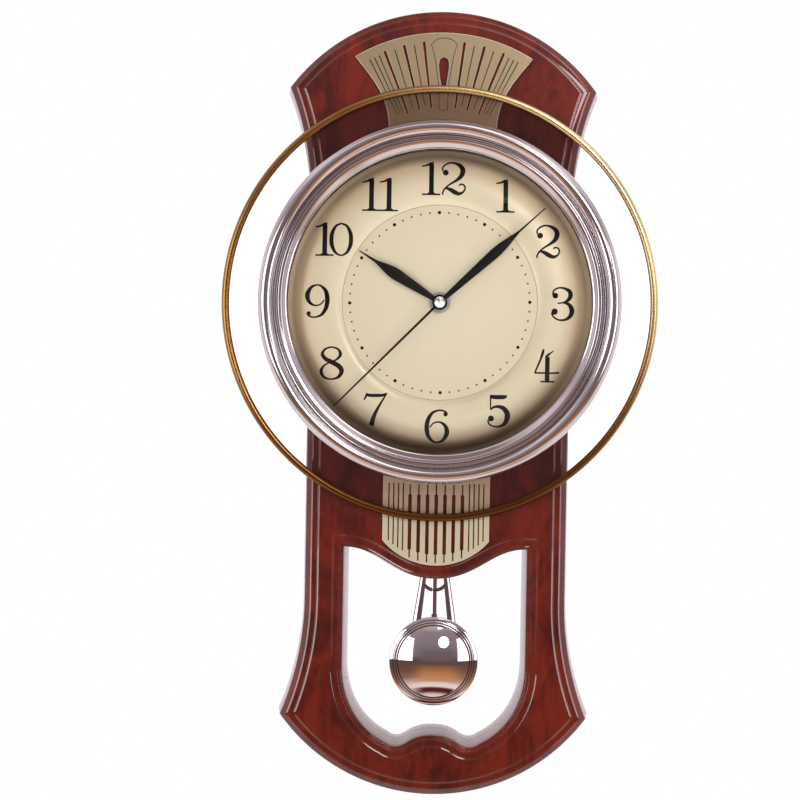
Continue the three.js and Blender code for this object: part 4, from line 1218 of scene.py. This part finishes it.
def world():
    """White straight behind the object. Metal finds a dim room in front of it: a mauve wall, a warm floor
    with a dark patch ahead, and a pale floor close below and to the sides.
    """
    scene_world = bpy.data.worlds.new("studio")
    bpy.context.scene.world = scene_world
    scene_world.use_nodes = True
    n = Nodes(scene_world.node_tree)
    background = scene_world.node_tree.nodes["Background"]
    direction = n.add("TexCoord", output=0)
    across, depth, up = n.outputs(n.add("SeparateXYZ", None, {0: direction}), 0, 1, 2)
    seen_directly, glossy, through_glass = n.rays()
    height = n.add("MapRange", None, {0: up, 1: -1.0, 2: 1.0, 3: 0.0, 4: 1.0})
    ahead, beside = (
        n.add("ValToRGB", {"stops": [(at, srgb(*colour)) for at, *colour in stops]}, {0: height})
        for stops in (AHEAD, BESIDE)
    )
    aside = n.add("Math", {"operation": "ABSOLUTE"}, {0: across - 0.1})
    room = n.mixed(n.smooth(aside, 0.28, 0.72), ahead, beside)
    behind = n.smooth(depth, 0.0, 0.35)
    backdrop = n.smooth(depth, -0.5, 0.0) * (1.0 - n.smooth(up, 0.25, 0.6) * 0.75)
    seen = n.mixed(backdrop, room, srgb(232, 226, 230))
    plain = n.mixed(seen_directly, (0.5, 0.5, 0.505, 1.0), (1.0, 1.0, 1.0, 1.0))
    mirror = n.mixed(glossy, plain, seen)
    beyond = n.mixed(behind, (0.22, 0.22, 0.222, 1.0), (*[BEHIND_GLASS] * 3, 1.0))
    n.tree.links.new(n.mixed(through_glass, mirror, beyond).socket, background.inputs["Color"])
    strength = 1.0 + glossy * (1.0 - through_glass) * (MIRRORED_ROOM - 1.0)
    n.tree.links.new(strength.socket, background.inputs["Strength"])


def lamp(name, place, aim, size, power, mirrored=1.0):
    """Soft lamp aimed at a point. Mirrored rays find it brighter by a factor, as a window would be."""
    data = bpy.data.lights.new(name, "AREA")
    data.shape, data.size, data.size_y = "RECTANGLE", size[0], size[1]
    data.energy = power
    data.use_nodes = True
    n = Nodes(data.node_tree)
    _, glossy, through_glass = n.rays()
    strength = 1.0 + glossy * (1.0 - through_glass) * (mirrored - 1.0)
    n.tree.links.new(strength.socket, n.tree.nodes["Emission"].inputs["Strength"])
    light = linked(name, data)
    light.location = place
    back = np.array(place) - np.array(aim)
    light.rotation_euler = Vector(back.tolist()).to_track_quat("Z", "Y").to_euler()
    return light


def stage():
    world()
    lamp("key_upper_right", (0.55, -1.9, 0.35), (0, 0, -0.3), (0.58, 0.58), 7.5).data.shape = "DISK"
    lamp("softbox_left", (-1.3, -1.25, -0.15), (0, 0, -0.3), (0.9, 1.06), 8.5, 1.9)
    lamp("softbox_right", (1.4, -1.25, -0.15), (0, 0, -0.3), (0.75, 1.06), 6, 2.25)
    lamp("window_upper_right", (0.6, -1.1, 0.97), (0, 0, -0.2), (1.1, 0.5), 2.2, 3.0)
    lamp("top_strip", (0.0, -0.7, 1.1), (0, 0, -0.2), (1.6, 0.5), 6).visible_glossy = False
    size, low = 12.0, -1.6
    floor = bpy.data.meshes.new("floor")
    corners = [(-size, -size, low), (size, -size, low), (size, size, low), (-size, size, low)]
    floor.from_pydata(corners, [], [(0, 1, 2, 3)])
    plane = linked("floor", floor)
    pale = Finish("pale_floor", Roughness=0.9)
    pale.set("Base Color", srgb(235, 235, 235))
    seen_directly, _, through_glass = pale.rays()
    strength = 1.0 + through_glass * (BEHIND_GLASS - 1.0)
    glow = pale.add("Emission", None, {"Color": (1, 1, 1, 1), "Strength": strength})
    surface = Value(pale, pale.shader.outputs[0])
    seen = (seen_directly + through_glass).clamped()
    mix = pale.add("MixShader", None, {0: seen, 1: surface, 2: glow})
    pale.tree.links.new(mix.socket, pale.tree.nodes["Material Output"].inputs["Surface"])
    floor.materials.append(pale.material)
    plane.visible_glossy = False


def camera():
    data = bpy.data.cameras.new("camera")
    data.sensor_width = 36.0
    data.lens = 85.4
    data.shift_x, data.shift_y = -0.0475, 0.00375
    eye = linked("camera", data)
    eye.location = (0.0, -1.545, -0.2795)
    eye.rotation_euler = (math.pi / 2, math.radians(-1.02), 0.0)
    bpy.context.scene.camera = eye


camera()
stage()
case_board()
case_rails()
top_plate()
bottom_plate()
glass_and_rim()
dial()
bezel()
lens()
dial_print()
hands()
pendulum_rods()
bob()
dress_kept()

bpy.context.scene.view_settings.view_transform = "Standard"
